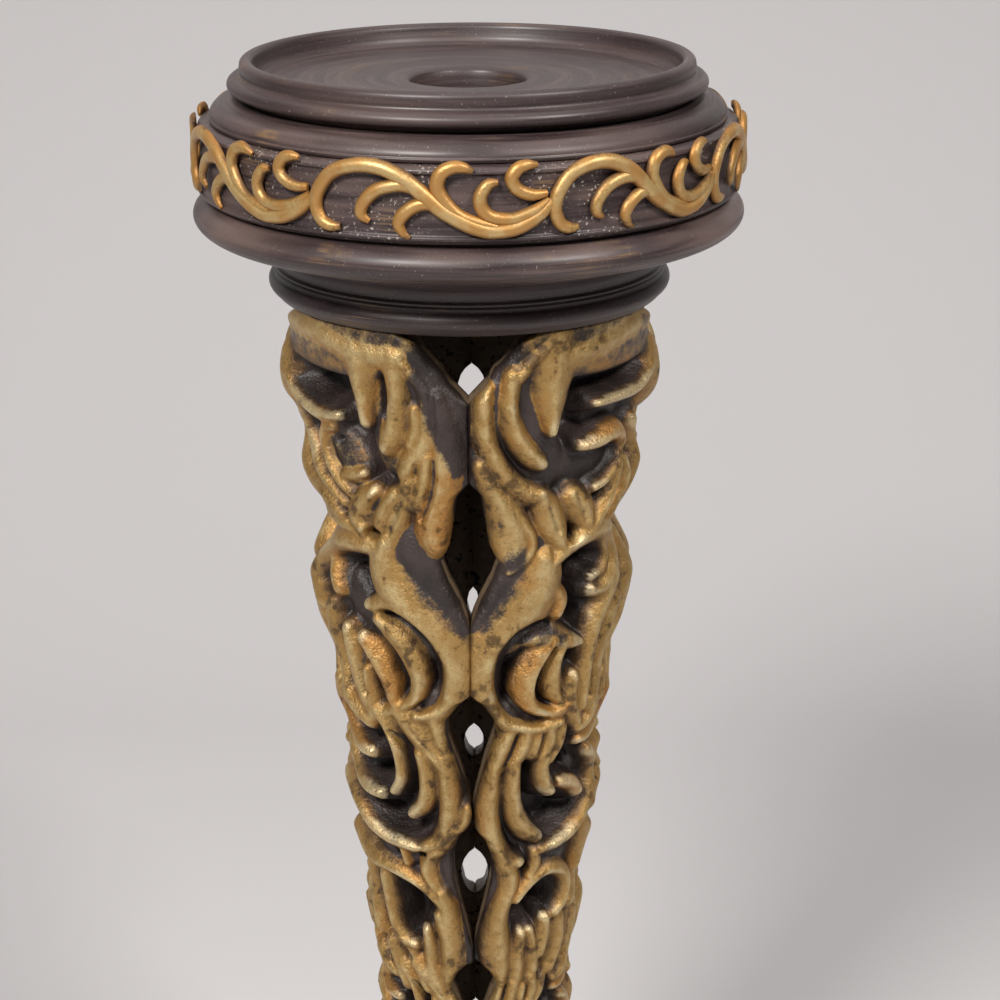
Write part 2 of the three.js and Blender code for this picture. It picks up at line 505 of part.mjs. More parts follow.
addPiece('felt_pad', rod(feltRadius, 0, feltThickness, turnedSides), blackFelt);
addPiece('base_plinth', plinth(), darkPaint);
addPiece('base_dome', dome(), darkPaint);
addPiece('foot_collar', collar(), darkPaint);

// Bolt through the foot, its head in the plinth's recess
const washerBase = plinthBase + recessDepth - washerThickness;
const boltHeadTop = washerBase - seatGap;
const nutBase = legFoot + seatGap;
const hexRadius = boltHeadAcross / Math.sqrt(3);

function bolt() {
  const shank = rod(boltRadius - fitGap, boltHeadTop - 1, nutBase + nutHeight + boltStickOut);
  const head = rod(hexRadius, boltHeadTop - boltHeadHeight, boltHeadTop, 6);
  return toGeometry(toSolid(head).add(toSolid(shank)));
}

function ringWasher(hole, radius, low, high, sides = 2 * pinSides) {
  return turned([[hole, low], [radius, low], [radius, high], [hole, high]], sides);
}

addPiece('base_bolt', bolt(), zincSteel);
addPiece('base_washer',
  ringWasher(boltRadius, washerRadius, washerBase, washerBase + washerThickness), zincSteel);
addPiece('base_nut', cut(rod(hexRadius, nutBase, nutBase + nutHeight, 6),
  [rod(boltRadius, nutBase - 1, nutBase + nutHeight + 1)]), zincSteel);

// Shaft
function interpolate(points, at) {
  const next = points.findIndex(([depth]) => depth >= at);
  if (next <= 0) return points[next === 0 ? 0 : points.length - 1][1];
  const [[d0, v0], [d1, v1]] = [points[next - 1], points[next]];
  return v0 + ((v1 - v0) * (at - d0)) / (d1 - d0);
}

const tierTops = tiers.map((_, i) => tiers.slice(0, i).reduce((sum, tier) => sum + tier.height, 0));
const drawnTops = drawnHeights.map((_, i) => drawnHeights.slice(0, i).reduce((sum, h) => sum + h, 0));
const shaftOutline = tiers.flatMap(({ height, outline }, i) =>
  outline.map(([share, radius]) => [tierTops[i] + share * height, radius]));
const rowCount = Math.floor(shaftLength / rowSpacing);
const shaftDepths = Array.from({ length: rowCount + 1 }, (_, i) => (i * shaftLength) / rowCount);

// Strokes and hollows of one hand down the whole shaft, in millimetres
function wholeCarving(hand) {
  return carvedAs.flatMap((source, tier) => {
    const scale = tiers[tier].height / drawnHeights[source];
    const lowered = (depth) => tierTops[tier] + (depth - drawnTops[source]) * scale;
    return carving[hand][source].map(({ drop, rise = 1, path }) => ({
      drop: drop * scale,
      rise,
      path: path.map(([angle, depth, width]) => [angle, lowered(depth), width * scale]),
    }));
  });
}

function wholeHollows(hand) {
  return carvedAs.flatMap((source, tier) => {
    const scale = tiers[tier].height / drawnHeights[source];
    return hollows[hand][source].map(([angle, depth, halfAngle, halfHeight, deep]) => ({
      angle, halfAngle,
      depth: tierTops[tier] + (depth - drawnTops[source]) * scale,
      halfHeight: halfHeight * scale,
      deep: deep * scale,
    }));
  });
}

// Height of a stroke's round back over the shaft at a place, or the ground where it is wider away
function strokeHeight({ drop, rise, path }, angle, depth, perDegree, ground) {
  let height = ground;
  for (let i = 0; i < path.length - 1; i += 1) {
    const [[s0, d0, w0], [s1, d1, w1]] = [path[i], path[i + 1]];
    const [along, down] = [(s1 - s0) * perDegree, d1 - d0];
    const [x, y] = [(angle - s0) * perDegree, depth - d0];
    const share = THREE.MathUtils.clamp((x * along + y * down) / (along * along + down * down), 0, 1);
    const half = (w0 + (w1 - w0) * share) / 2;
    const away = Math.hypot(x - share * along, y - share * down) / half;
    const tall = THREE.MathUtils.clamp(half * 1.25, 1, 4.2) * rise;
    if (away < 1) height = Math.max(height, -drop - tall * (1 - Math.sqrt(1 - away * away)));
  }
  return height;
}

// Radius of a leg's outside at an angle off its front or rear seam
function carvedRadius(strokes, dips, angle, depth) {
  const smooth = interpolate(taper, depth);
  const share = THREE.MathUtils.smoothstep(angle, outlineFrom, outlineFull);
  const outline = smooth + (interpolate(shaftOutline, depth) - smooth) * share;
  const perDegree = THREE.MathUtils.degToRad(smooth);
  const tier = Math.max(0, tierTops.findLastIndex((top) => top <= depth));
  const ground = dips.reduce((sum, dip) => {
    const reach = Math.hypot((angle - dip.angle) / dip.halfAngle, (depth - dip.depth) / dip.halfHeight);
    return sum - dip.deep * (1 - THREE.MathUtils.smoothstep(reach, 0.6, 1.15));
  }, -groundDepth[tier]);
  const height = strokes.reduce(
    (highest, stroke) => Math.max(highest, strokeHeight(stroke, angle, depth, perDegree, ground)), ground);
  const fromSeam = Math.min(angle, 90 - angle) * perDegree;
  return outline + height - edgeDrop * Math.max(0, 1 - fromSeam / edgeDrop);
}

// Mean of nine places round a corner, so that strokes finer than the facets don't leave chips
function softRadius(strokes, dips, angle, depth) {
  const steps = [-0.5, 0, 0.5];
  const [across, down] = [90 / legFaces, shaftLength / rowCount];
  const places = steps.flatMap((a) => steps.map((d) => [
    THREE.MathUtils.clamp(angle + a * across, 0, 90),
    THREE.MathUtils.clamp(depth + d * down, 0, shaftLength),
  ]));
  return places.reduce((sum, [s, d]) => sum + carvedRadius(strokes, dips, s, d), 0) / places.length;
}

// One leg round +X. Its front or rear seam is on its -Y side when hand is right, else on its +Y side.
function carvedLeg(hand, nearSlot) {
  const half = Math.PI / legCount;
  const turn = hand === 'right' ? 1 : -1;
  const top = legTop - seatGap;
  const bottom = legFoot + seatGap;
  const [strokes, dips] = [wholeCarving(hand), wholeHollows(hand)];
  const positions = [];
  const corner = (radius, share, depth) => {
    const slotWidth = interpolate(share * turn < 0 ? nearSlot : frontSlot, depth);
    const angle = share * (half - Math.asin(Math.max(slotWidth, fitGap / 2) / radius));
    const height = top - (depth / shaftLength) * (top - bottom);
    positions.push(radius * Math.cos(angle), radius * Math.sin(angle), height);
  };
  shaftDepths.forEach((depth) => {
    const core = coreTopRadius + (coreFootRadius - coreTopRadius) * (depth / shaftLength);
    for (let i = 0; i <= legFaces; i += 1) {
      const share = -1 + (2 * i) / legFaces;
      const radius = softRadius(strokes, dips, 45 + 45 * share * turn, depth);
      corner(Math.max(radius, core + legWall), share, depth);
    }
    for (let i = 0; i <= innerFaces; i += 1) {
      corner(core, -1 + (2 * i) / innerFaces, depth);
    }
  });
  const geometry = new THREE.BufferGeometry();
  geometry.setAttribute('position', new THREE.Float32BufferAttribute(positions, 3));
  geometry.setIndex(legFaceList(shaftDepths.length));
  return geometry;
}

// Faces of a leg whose rows hold the outside's corners and then the inside's
function legFaceList(rows) {
  const stride = legFaces + 1 + innerFaces + 1;
  const outerAt = (row, i) => row * stride + i;
  const innerAt = (row, i) => row * stride + legFaces + 1 + i;
  const faces = [];
  const quad = (a, b, c, d) => faces.push(a, b, c, a, c, d);
  for (let row = 0; row < rows - 1; row += 1) {
    for (let i = 0; i < legFaces; i += 1) {
      quad(outerAt(row, i), outerAt(row + 1, i), outerAt(row + 1, i + 1), outerAt(row, i + 1));
    }
    for (let i = 0; i < innerFaces; i += 1) {
      quad(innerAt(row, i), innerAt(row, i + 1), innerAt(row + 1, i + 1), innerAt(row + 1, i));
    }
    quad(outerAt(row, 0), innerAt(row, 0), innerAt(row + 1, 0), outerAt(row + 1, 0));
    quad(outerAt(row, legFaces), outerAt(row + 1, legFaces), innerAt(row + 1, innerFaces),
      innerAt(row, innerFaces));
  }
  const end = rows - 1;
  const each = legFaces / innerFaces;
  for (let i = 0; i < innerFaces; i += 1) {
    const middle = (i + 0.5) * each;
    for (let k = i * each; k < (i + 1) * each; k += 1) {
      const inner = k < middle ? i : i + 1;
      faces.push(outerAt(0, k), outerAt(0, k + 1), innerAt(0, inner));
      faces.push(outerAt(end, k + 1), outerAt(end, k), innerAt(end, inner));
    }
    faces.push(outerAt(0, middle), innerAt(0, i + 1), innerAt(0, i));
    faces.push(innerAt(end, i + 1), outerAt(end, middle), innerAt(end, i));
  }
  return faces;
}

function boredLeg(hand, nearSlot) {
  const dowelBore = rod(dowelRadius + fitGap, legTop - dowelLength / 2 - fitGap, legTop + 1);
  const screwBore = rod(screwRadius + fitGap, legFoot - 1, screwTip + fitGap);
  return cut(carvedLeg(hand, nearSlot), [
    dowelBore.translate(dowelCircle, 0, 0),
    screwBore.translate(legScrewCircle, 0, 0),
  ]);
}

const screwTip = collarBase + counterboreExtra + legScrewLength;

// Countersunk wood screw standing on its head
function woodScrew(tip, length) {
  const base = tip - length;
  return turned([
    [0, base],
    [screwHeadRadius, base],
    [screwHeadRadius, base + screwHeadHeight * 0.3],
    [screwRadius, base + screwHeadHeight],
    [screwRadius, tip - 3],
    [0, tip],
  ], pinSides);
}

const legKinds = [
  ['front_right', 'right', frontSlot],
  ['rear_right', 'left', rearSlot],
  ['rear_left', 'right', rearSlot],
  ['front_left', 'left', frontSlot],
];
legKinds.forEach(([name, hand, nearSlot], i) => {
  const leg = addPiece(`leg_${name}`, boredLeg(hand, nearSlot), carvedBronze);
  leg.rotation.z = legAngles[i];
});
legCentres(dowelCircle).forEach(([x, y], i) => {
  const dowel = addPiece(`top_dowel_${i + 1}`,
    rod(dowelRadius, legTop - dowelLength / 2, legTop + dowelLength / 2), bareWood);
  dowel.position.set(x, y, 0);
});
legCentres(legScrewCircle).forEach(([x, y], i) => {
  const screw = addPiece(`leg_screw_${i + 1}`, woodScrew(screwTip, legScrewLength), zincSteel);
  screw.position.set(x, y, 0);
});

// Neck, with the screws that hold it to the drum's spigot
const neckScrewTip = legTop + counterboreExtra + neckScrewLength;
const neckScrewPlaces = around(neckScrewCount, neckScrewCircle, Math.PI / 2);

function neck() {
  const [low, high] = [legTop + seatGap, neckTop];
  const body = turned([
    [0, low],
    [neckThroatRadius + 0.2, low],
    ...arc(neckThroatRadius, low + 2.9, neckBeadRadius - neckThroatRadius, 2.2, -80, 80, 5),
    [neckThroatRadius, low + neckHeight * 0.52],
    [neckThroatRadius + 0.9, low + neckHeight * 0.66],
    [neckThroatRadius + 3, low + neckHeight * 0.82],
    [neckTopRadius - 1, low + neckHeight * 0.94],
    [neckTopRadius, high],
    [0, high],
  ]);
  const dowelBores = legCentres(dowelCircle).map(([x, y]) =>
    rod(dowelRadius + fitGap, low - 1, legTop + dowelLength / 2 + fitGap).translate(x, y, 0));
  const screwBores = neckScrewPlaces.flatMap(([x, y]) => [
    rod(screwRadius + fitGap, low - 1, high + 1).translate(x, y, 0),
    rod(screwHeadRadius + fitGap, low - 1, low + screwHeadHeight + counterboreExtra).translate(x, y, 0),
  ]);
  return cut(body, [...dowelBores, ...screwBores]);
}

addPiece('neck_ring', neck(), darkPaint);
neckScrewPlaces.forEach(([x, y], i) => {
  const screw = addPiece(`neck_screw_${i + 1}`, woodScrew(neckScrewTip, neckScrewLength), zincSteel);
  screw.position.set(x, y, 0);
});

// Torus ring round the drum's spigot
function torusRing() {
  const [low, high] = [neckTop + seatGap, drumBase];
  const hole = drumSpigotRadius + fitGap;
  const halfHeight = (high - low) / 2;
  return turned([
    [hole, low],
    [neckTopRadius + 1, low],
    ...arc(torusRadius - 6, low + halfHeight, 6, halfHeight - 0.3, -70, 70, 5),
    [friezeRadius - 2.4, high],
    [hole, high],
  ]);
}

addPiece('torus_ring', torusRing(), darkPaint);

// Drum with the blind socket
function drum() {
  const [low, high] = [drumBase + seatGap, drumTop];
  const body = turned([
    [0, neckTop + seatGap],
    [drumSpigotRadius, neckTop + seatGap],
    [drumSpigotRadius, low],
    [friezeRadius - friezeFillet, low],
    [friezeRadius, low + friezeFillet],
    [friezeRadius, high - friezeFillet],
    [friezeRadius - friezeFillet, high],
    [socketRadius + fitGap, high],
    [socketRadius + fitGap, socketFloor],
    [0, socketFloor],
  ]);
  const pilots = neckScrewPlaces.map(([x, y]) =>
    rod(screwRadius + fitGap, neckTop - 1, neckScrewTip + fitGap).translate(x, y, 0));
  return cut(body, pilots);
}

addPiece('frieze_drum', drum(), darkPaint);

// Ribbon of one width along a smooth line, standing up from the ground by the relief
function ribbon(points) {
  const line = new THREE.CatmullRomCurve3(points.map(([x, y]) => new THREE.Vector3(x, y, 0)));
  const steps = points.length + 1;
  const sides = [[], []];
  for (let i = 0; i <= steps; i += 1) {
    const place = line.getPoint(i / steps);
    const along = line.getTangent(i / steps);
    const [x, y] = [(along.y * scrollWidth) / 2, (along.x * scrollWidth) / 2];
    sides[0].push(new THREE.Vector2(place.x - x, place.y + y));
    sides[1].push(new THREE.Vector2(place.x + x, place.y - y));
  }
  const outline = new THREE.Shape([...sides[0], ...sides[1].reverse()]);
  return new THREE.ExtrudeGeometry(outline, { depth: scrollRelief, bevelEnabled: false });
}

// One length of scroll, joined flat and then bent round the drum
function scroll(startAngle, sweep) {
  const bed = friezeRadius + scrollClearance;
  const length = THREE.MathUtils.degToRad(sweep) * bed;
  const band = [drumBase + scrollMargin + scrollWidth / 2, drumTop - scrollMargin - scrollWidth / 2];
  const solids = scrollStrokes.map((stroke) =>
    toSolid(ribbon(stroke.map(([along, up]) => [along * length, band[0] + up * (band[1] - band[0])]))));
  const joined = toGeometry(solids.reduce((rest, solid) => rest.add(solid)));
  const place = joined.getAttribute('position');
  for (let i = 0; i < place.count; i += 1) {
    const angle = THREE.MathUtils.degToRad(startAngle - 90) + place.getX(i) / bed;
    const radius = bed + place.getZ(i);
    place.setXYZ(i, radius * Math.cos(angle), radius * Math.sin(angle), place.getY(i));
  }
  joined.computeVertexNormals();
  return joined;
}

const cutSweep = cutLengths.reduce((sum, sweep) => sum + sweep, 0);
const plainSweep = (360 - cutSweep) / (scrollCount - cutLengths.length);
let scrollAngle = firstScrollAngle;
for (let i = 0; i < scrollCount; i += 1) {
  const sweep = cutLengths[i] ?? plainSweep;
  addPiece(`frieze_scroll_${i + 1}`, scroll(scrollAngle, sweep), rubbedGold);
  scrollAngle += sweep;
}

// Quarter-round moulding round the tray's spigot
function shoulder() {
  const [low, high] = [drumTop + seatGap, trayBase];
  const hole = traySpigotRadius + fitGap;
  const drop = shoulderRadius - trayRadius + 0.6;
  return turned([
    [hole, low],
    [shoulderRadius, low],
    ...arc(shoulderRadius - drop, low + 0.6, drop, high - low - 0.9, 0, 80, 4),
    [hole, high],
  ]);
}

addPiece('shoulder_ring', shoulder(), darkPaint);

// Dish with its half-round lip, its torus and the mouth of the socket
function tray() {
  const low = trayBase + seatGap;
  const lip = arc(dishRadius + lipWidth / 2, trayEdge, lipWidth / 2, lipHeight, 0, 180, 5);
  return turned([
    [socketRadius, drumTop + seatGap],
    [traySpigotRadius, drumTop + seatGap],
    [traySpigotRadius, low],
    [trayRadius - 2.8, low],
    ...arc(trayRadius - 2, trayEdge - 3.6, 2, 1.5, -60, 70, 4),
    [dishRadius + lipWidth, trayEdge - 1.4],
    ...lip,
    [dishRadius - 0.9, trayEdge - dishDepth * 0.75],
    [dishRadius - 2.8, dishFloor],
    [socketRadius + 1.3, dishFloor],
    [socketRadius + 0.3, dishFloor - 0.5],
    [socketRadius, dishFloor - 1.6],
  ]);
}

addPiece('candle_tray', tray(), darkPaint);

export default stand;
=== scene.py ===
# A short torchere candle stand: a turned tray and drum in waxed dark brown paint, a running scroll
# rubbed with gold, and a shaft of four carved and gilded legs on a turned foot.
# Blender works in metres. The dictionaries hold millimetres and degrees.
import math

import bmesh
import bpy
import numpy as np
from mathutils import Matrix, Vector


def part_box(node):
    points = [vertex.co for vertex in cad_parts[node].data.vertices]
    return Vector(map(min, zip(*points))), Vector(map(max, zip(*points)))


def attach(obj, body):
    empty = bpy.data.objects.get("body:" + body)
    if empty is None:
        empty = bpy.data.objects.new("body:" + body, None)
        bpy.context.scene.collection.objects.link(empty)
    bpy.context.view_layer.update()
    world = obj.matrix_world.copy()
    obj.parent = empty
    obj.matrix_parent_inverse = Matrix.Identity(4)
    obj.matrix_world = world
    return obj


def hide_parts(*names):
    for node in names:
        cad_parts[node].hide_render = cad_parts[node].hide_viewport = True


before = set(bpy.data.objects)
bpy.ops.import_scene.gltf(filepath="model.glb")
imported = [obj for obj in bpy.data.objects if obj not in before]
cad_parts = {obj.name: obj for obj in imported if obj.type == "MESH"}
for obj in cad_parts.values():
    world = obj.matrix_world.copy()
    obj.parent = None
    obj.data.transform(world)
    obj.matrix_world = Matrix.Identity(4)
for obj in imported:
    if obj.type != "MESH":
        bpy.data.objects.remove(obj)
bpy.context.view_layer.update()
mm = 0.001
print("frame loaded:", len(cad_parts), "nodes")


def lowest(node):
    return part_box(node)[0].z / mm


def highest(node):
    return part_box(node)[1].z / mm


# Helpers for node trees, meshes and outlines

def linear(hexColor):
    shares = [int(hexColor[i:i + 2], 16) / 255 for i in (1, 3, 5)]
    return (*[s / 12.92 if s <= 0.04045 else ((s + 0.055) / 1.055) ** 2.4 for s in shares], 1.0)


def addNode(tree, kind, links=None, **settings):
    node = tree.nodes.new(kind)
    for name, value in settings.items():
        setattr(node, name, value)
    for name, value in (links or {}).items():
        if isinstance(value, bpy.types.NodeSocket):
            tree.links.new(value, node.inputs[name])
        else:
            node.inputs[name].default_value = value
    return node


def reckon(tree, operation, *values):
    return addNode(tree, "ShaderNodeMath", dict(enumerate(values)), operation=operation).outputs[0]


def plus(tree, first, second):
    return reckon(tree, "ADD", first, second)


def times(tree, first, second):
    return reckon(tree, "MULTIPLY", first, second)


def newTree(name, inputs):
    tree = bpy.data.node_groups.new(name, "GeometryNodeTree")
    for label, kind in inputs.items():
        tree.interface.new_socket(name=label, in_out="INPUT", socket_type="NodeSocket" + kind)
    tree.interface.new_socket(name="Made", in_out="OUTPUT", socket_type="NodeSocketGeometry")
    return tree, addNode(tree, "NodeGroupInput").outputs


def endTree(tree, geometry, finish):
    real = addNode(tree, "GeometryNodeRealizeInstances", {"Geometry": geometry})
    painted = addNode(tree, "GeometryNodeSetMaterial", {
        "Geometry": real.outputs["Geometry"], "Material": finish})
    addNode(tree, "NodeGroupOutput", {"Made": painted.outputs["Geometry"]})


def runTree(source, tree, name, values):
    modifier = source.modifiers.new("making", "NODES")
    modifier.node_group = tree
    for item in tree.interface.items_tree:
        if item.in_out == "INPUT" and item.name in values:
            modifier[item.identifier] = values[item.name]
    evaluated = source.evaluated_get(bpy.context.evaluated_depsgraph_get())
    mesh = bpy.data.meshes.new_from_object(evaluated)
    mesh.name = name
    bpy.data.objects.remove(source)
    cleaned(mesh)
    return linkPiece(name, mesh)


def linkPiece(name, mesh):
    piece = bpy.data.objects.new(name, mesh)
    bpy.context.scene.collection.objects.link(piece)
    return piece


def dressed(mesh, finish):
    mesh.materials.append(finish)
    for face in mesh.polygons:
        face.use_smooth = True


# Normals that all point out; with split, no face keeps more than four corners
def cleaned(mesh, split=False):
    body = bmesh.new()
    body.from_mesh(mesh)
    if split:
        bmesh.ops.triangulate(body, faces=[face for face in body.faces if len(face.verts) > 4])
    bmesh.ops.recalc_face_normals(body, faces=body.faces)
    body.to_mesh(mesh)
    body.free()


def lineMesh(name, lines, closed=False):
    mesh = bpy.data.meshes.new(name)
    points = [point for line in lines for point in line]
    edges, first = [], 0
    for line in lines:
        edges += [(first + i, first + i + 1) for i in range(len(line) - 1)]
        first += len(line)
    mesh.from_pydata(points, edges + ([(first - 1, 0)] if closed else []), [])
    return mesh


def standFor(piece, slot, *nodes):
    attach(piece, "root")
    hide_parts(*nodes)


def arc(radius, height, halfWidth, halfHeight, start, end, steps=10):
    angles = [math.radians(start + (end - start) * i / steps) for i in range(steps + 1)]
    return [(radius + halfWidth * math.cos(a), height + halfHeight * math.sin(a)) for a in angles]


# Sharp corners of an outline become small bends, as paint leaves them
def softened(corners, closed, reach=0.35, steps=4):
    made = []
    count = len(corners)
    for i, corner in enumerate(corners):
        if not closed and i in (0, count - 1):
            made.append(corner)
            continue
        here = np.array(corner)
        back = np.array(corners[i - 1]) - here
        on = np.array(corners[(i + 1) % count]) - here
        backLength, onLength = np.linalg.norm(back), np.linalg.norm(on)
        if back @ on / (backLength * onLength) < -0.9:
            made.append(corner)
            continue
        start = here + back / backLength * min(reach, backLength * 0.4)
        end = here + on / onLength * min(reach, onLength * 0.4)
        for k in range(steps + 1):
            t = k / steps
            made.append(tuple((1 - t) ** 2 * start + 2 * t * (1 - t) * here + t * t * end))
    return made


# Camera, light and stage

view = {
    "place": (5.9, -468.7, 378.5),
    "downward": 19.2,
    "roll": -0.2,
    "lens": 87.3,
    "sensor": 36,
    "paper": "#cac8c9",
    "floorReach": 1400,
    "paperBehind": 620,
    "bend": 260,
    "paperHeight": 1500,
    "lampTarget": (0, 0, 230),
    "lampColor": "#fffcf8",
    "worldColor": "#f1f0f2",
    "worldLevel": 0.18,
}


def setCamera():
    lens = bpy.data.cameras.new("photographer")
    lens.lens = view["lens"]
    lens.sensor_width = view["sensor"]
    lens.clip_start = 0.01
    camera = bpy.data.objects.new("photographer", lens)
    tilt = Matrix.Rotation(math.radians(90 - view["downward"]), 4, "X")
    roll = Matrix.Rotation(math.radians(view["roll"]), 4, "Z")
    camera.matrix_world = Matrix.Translation([c * mm for c in view["place"]]) @ tilt @ roll
    bpy.context.scene.collection.objects.link(camera)
    bpy.context.scene.camera = camera


# Softboxes: name, place, size and watts; each looks at the top of the shaft
softboxes = {
    "windowAboveLeft": ((-320, -600, 800), 210, 8.4),
    "windowAboveRight": ((430, -430, 820), 160, 4.6),
    "ceiling": ((0, 260, 1250), 900, 3.6),
}


def setLights():
    for name, (place, size, watts) in softboxes.items():
        lamp = bpy.data.lights.new(name, "AREA")
        lamp.shape = "SQUARE"
        lamp.size = size * mm
        lamp.energy = watts
        lamp.color = linear(view["lampColor"])[:3]
        light = bpy.data.objects.new(name, lamp)
        away = Vector(place) - Vector(view["lampTarget"])
        turned = away.to_track_quat("Z", "Y").to_matrix().to_4x4()
        light.matrix_world = Matrix.Translation([c * mm for c in place]) @ turned
        bpy.context.scene.collection.objects.link(light)
    world = bpy.data.worlds.new("studio")
    world.use_nodes = True
    ground = world.node_tree.nodes["Background"]
    ground.inputs["Color"].default_value = linear(view["worldColor"])
    ground.inputs["Strength"].default_value = view["worldLevel"]
    bpy.context.scene.world = world
    bpy.context.scene.view_settings.view_transform = "Standard"


# A camera behind the paper sees through its back
def letCameraThrough(tree, shader):
    back = addNode(tree, "ShaderNodeNewGeometry").outputs["Backfacing"]
    seen = addNode(tree, "ShaderNodeLightPath").outputs["Is Camera Ray"]
    clear = addNode(tree, "ShaderNodeBsdfTransparent").outputs["BSDF"]
    through = times(tree, back, seen)
    mixed = addNode(tree, "ShaderNodeMixShader", {0: through, 1: shader.outputs["BSDF"], 2: clear})
    tree.links.new(mixed.outputs["Shader"], tree.nodes["Material Output"].inputs["Surface"])


# Matt pale paper under and behind the stand, bent up in one sweep
def setStage():
    finish = bpy.data.materials.new("mattPaper")
    finish.use_nodes = True
    shader = finish.node_tree.nodes["Principled BSDF"]
    shader.inputs["Base Color"].default_value = linear(view["paper"])
    shader.inputs["Roughness"].default_value = 0.9
    shader.inputs["Specular IOR Level"].default_value = 0.1
    letCameraThrough(finish.node_tree, shader)
    reach, bend, behind = view["floorReach"], view["bend"], view["paperBehind"]
    sweep = arc(behind - bend, bend, bend, bend, -90, 0, 24)
    line = [(-reach, 0), *sweep, (behind, view["paperHeight"])]
    verts = [(side * reach * mm, y * mm, z * mm) for y, z in line for side in (-1, 1)]
    faces = [(2 * i, 2 * i + 1, 2 * i + 3, 2 * i + 2) for i in range(len(line) - 1)]
    mesh = bpy.data.meshes.new("paperSweep")
    mesh.from_pydata(verts, [], faces)
    dressed(mesh, finish)
    linkPiece("paperSweep", mesh)


setCamera()
setLights()
setStage()
print("camera, softboxes and paper set")


# Finishes. Every pattern is sized in millimetres on Object coordinates.

def newFinish(name):
    finish = bpy.data.materials.new(name)
    finish.use_nodes = True
    return finish, finish.node_tree, finish.node_tree.nodes["Principled BSDF"]


# Colours are sockets, or hex values
def mixColors(tree, share, first, second):
    first, second = [linear(one) if isinstance(one, str) else one for one in (first, second)]
    return addNode(tree, "ShaderNodeMix", {0: share, 6: first, 7: second}, data_type="RGBA").outputs[2]


def ramp(tree, value, low, high, outLow=0.0, outHigh=1.0):
    return addNode(tree, "ShaderNodeMapRange", {
        "Value": value, "From Min": low, "From Max": high, "To Min": outLow, "To Max": outHigh,
    }, interpolation_type="SMOOTHSTEP").outputs["Result"]


def blend(tree, value, low, high, first, second, outLow=0.0, outHigh=1.0):
    return mixColors(tree, ramp(tree, value, low, high, outLow, outHigh), first, second)


# Noise whose features are about this many millimetres, the same or different along x, y and z
def grain(tree, place, size, detail=3.0, roughness=0.5):
    sizes = size if isinstance(size, tuple) else (size, size, size)
    mapped = addNode(tree, "ShaderNodeMapping", {"Vector": place, "Scale": [1 / (one * mm) for one in sizes]})
    return addNode(tree, "ShaderNodeTexNoise", {
        "Vector": mapped.outputs["Vector"], "Scale": 1.0, "Detail": detail, "Roughness": roughness,
    }).outputs["Fac"]


def attributes(tree, *names):
    return [addNode(tree, "ShaderNodeAttribute", attribute_name=name).outputs["Fac"] for name in names]


def objectPlace(tree):
    return addNode(tree, "ShaderNodeTexCoord").outputs["Object"]


def relief(tree, shader, height, depth, strength=1.0):
    bump = addNode(tree, "ShaderNodeBump", {
        "Height": height, "Distance": depth * mm, "Strength": strength})
    tree.links.new(bump.outputs["Normal"], shader.inputs["Normal"])


def wire(tree, shader, **sockets):
    names = {"color": "Base Color", "roughness": "Roughness", "metallic": "Metallic"}
    for name, value in sockets.items():
        tree.links.new(value, shader.inputs[names[name]])


# Place on a turned piece: x and y as they are, and radius plus height as z, so that a fine pattern
# in z makes rings on flat faces and lines round the walls
def lathePlace(tree):
    axes = addNode(tree, "ShaderNodeSeparateXYZ", {0: objectPlace(tree)}).outputs
    flat = addNode(tree, "ShaderNodeCombineXYZ", {0: axes[0], 1: axes[1]}).outputs[0]
    radius = addNode(tree, "ShaderNodeVectorMath", {0: flat}, operation="LENGTH").outputs["Value"]
    far = plus(tree, radius, axes[2])
    return addNode(tree, "ShaderNodeCombineXYZ", {0: axes[0], 1: axes[1], 2: far}).outputs[0]


paint = {
    "deep": "#261b1b",
    "body": "#3f3233",
    "worn": "#6d5a54",
    "rub": "#8a6a3c",
    "dust": "#a89c94",
    "fleck": "#cdc6b8",
    "markSpacing": 0.5,
    "markLength": 18,
    "mottleSize": 14,
    "dustSize": 0.35,
    "fleckSize": 0.6,
}


# Dark purple-brown paint, brushed on while the piece turned and then waxed: a soft gloss that is
# broken by fine rings, and paler, browner edges where hands have worn it
def waxedBrownPaint(name, fleckShare=0.0, wornShare=0.35, streaks=1.0):
    finish, tree, shader = newFinish(name)
    turned, place = lathePlace(tree), objectPlace(tree)
    length, spacing = paint["markLength"], paint["markSpacing"]
    marks = grain(tree, turned, (length, length, spacing), 4)
    broad = grain(tree, turned, (length * 2, length * 2, spacing * 5), 2)
    mottle = grain(tree, place, paint["mottleSize"], 4)
    dust = grain(tree, place, paint["dustSize"], 2)
    weak, strong = 0.5 - 0.5 * streaks, 0.5 + 0.5 * streaks
    color = blend(tree, marks, 0.3, 0.7, paint["deep"], paint["body"], weak, strong)
    color = blend(tree, broad, 0.4, 0.7, color, paint["worn"], 0, wornShare)
    rubbed = times(tree, ramp(tree, mottle, 0.56, 0.7), ramp(tree, marks, 0.5, 0.64))
    color = mixColors(tree, times(tree, rubbed, 0.5 * streaks), color, paint["rub"])
    color = blend(tree, dust, 0.68, 0.74, color, paint["dust"], 0, 0.5)
    if fleckShare:
        fleck = grain(tree, place, paint["fleckSize"], 1)
        share = times(tree, ramp(tree, fleck, 0.64, 0.68), ramp(tree, mottle, 0.4, 0.6))
        color = mixColors(tree, times(tree, share, fleckShare), color, paint["fleck"])
    wire(tree, shader, color=color, roughness=ramp(tree, marks, 0.25, 0.75, 0.38, 0.56))
    relief(tree, shader, marks, 0.06, 0.5)
    shader.inputs["Coat Weight"].default_value = 0.1
    shader.inputs["Coat Roughness"].default_value = 0.3
    return finish


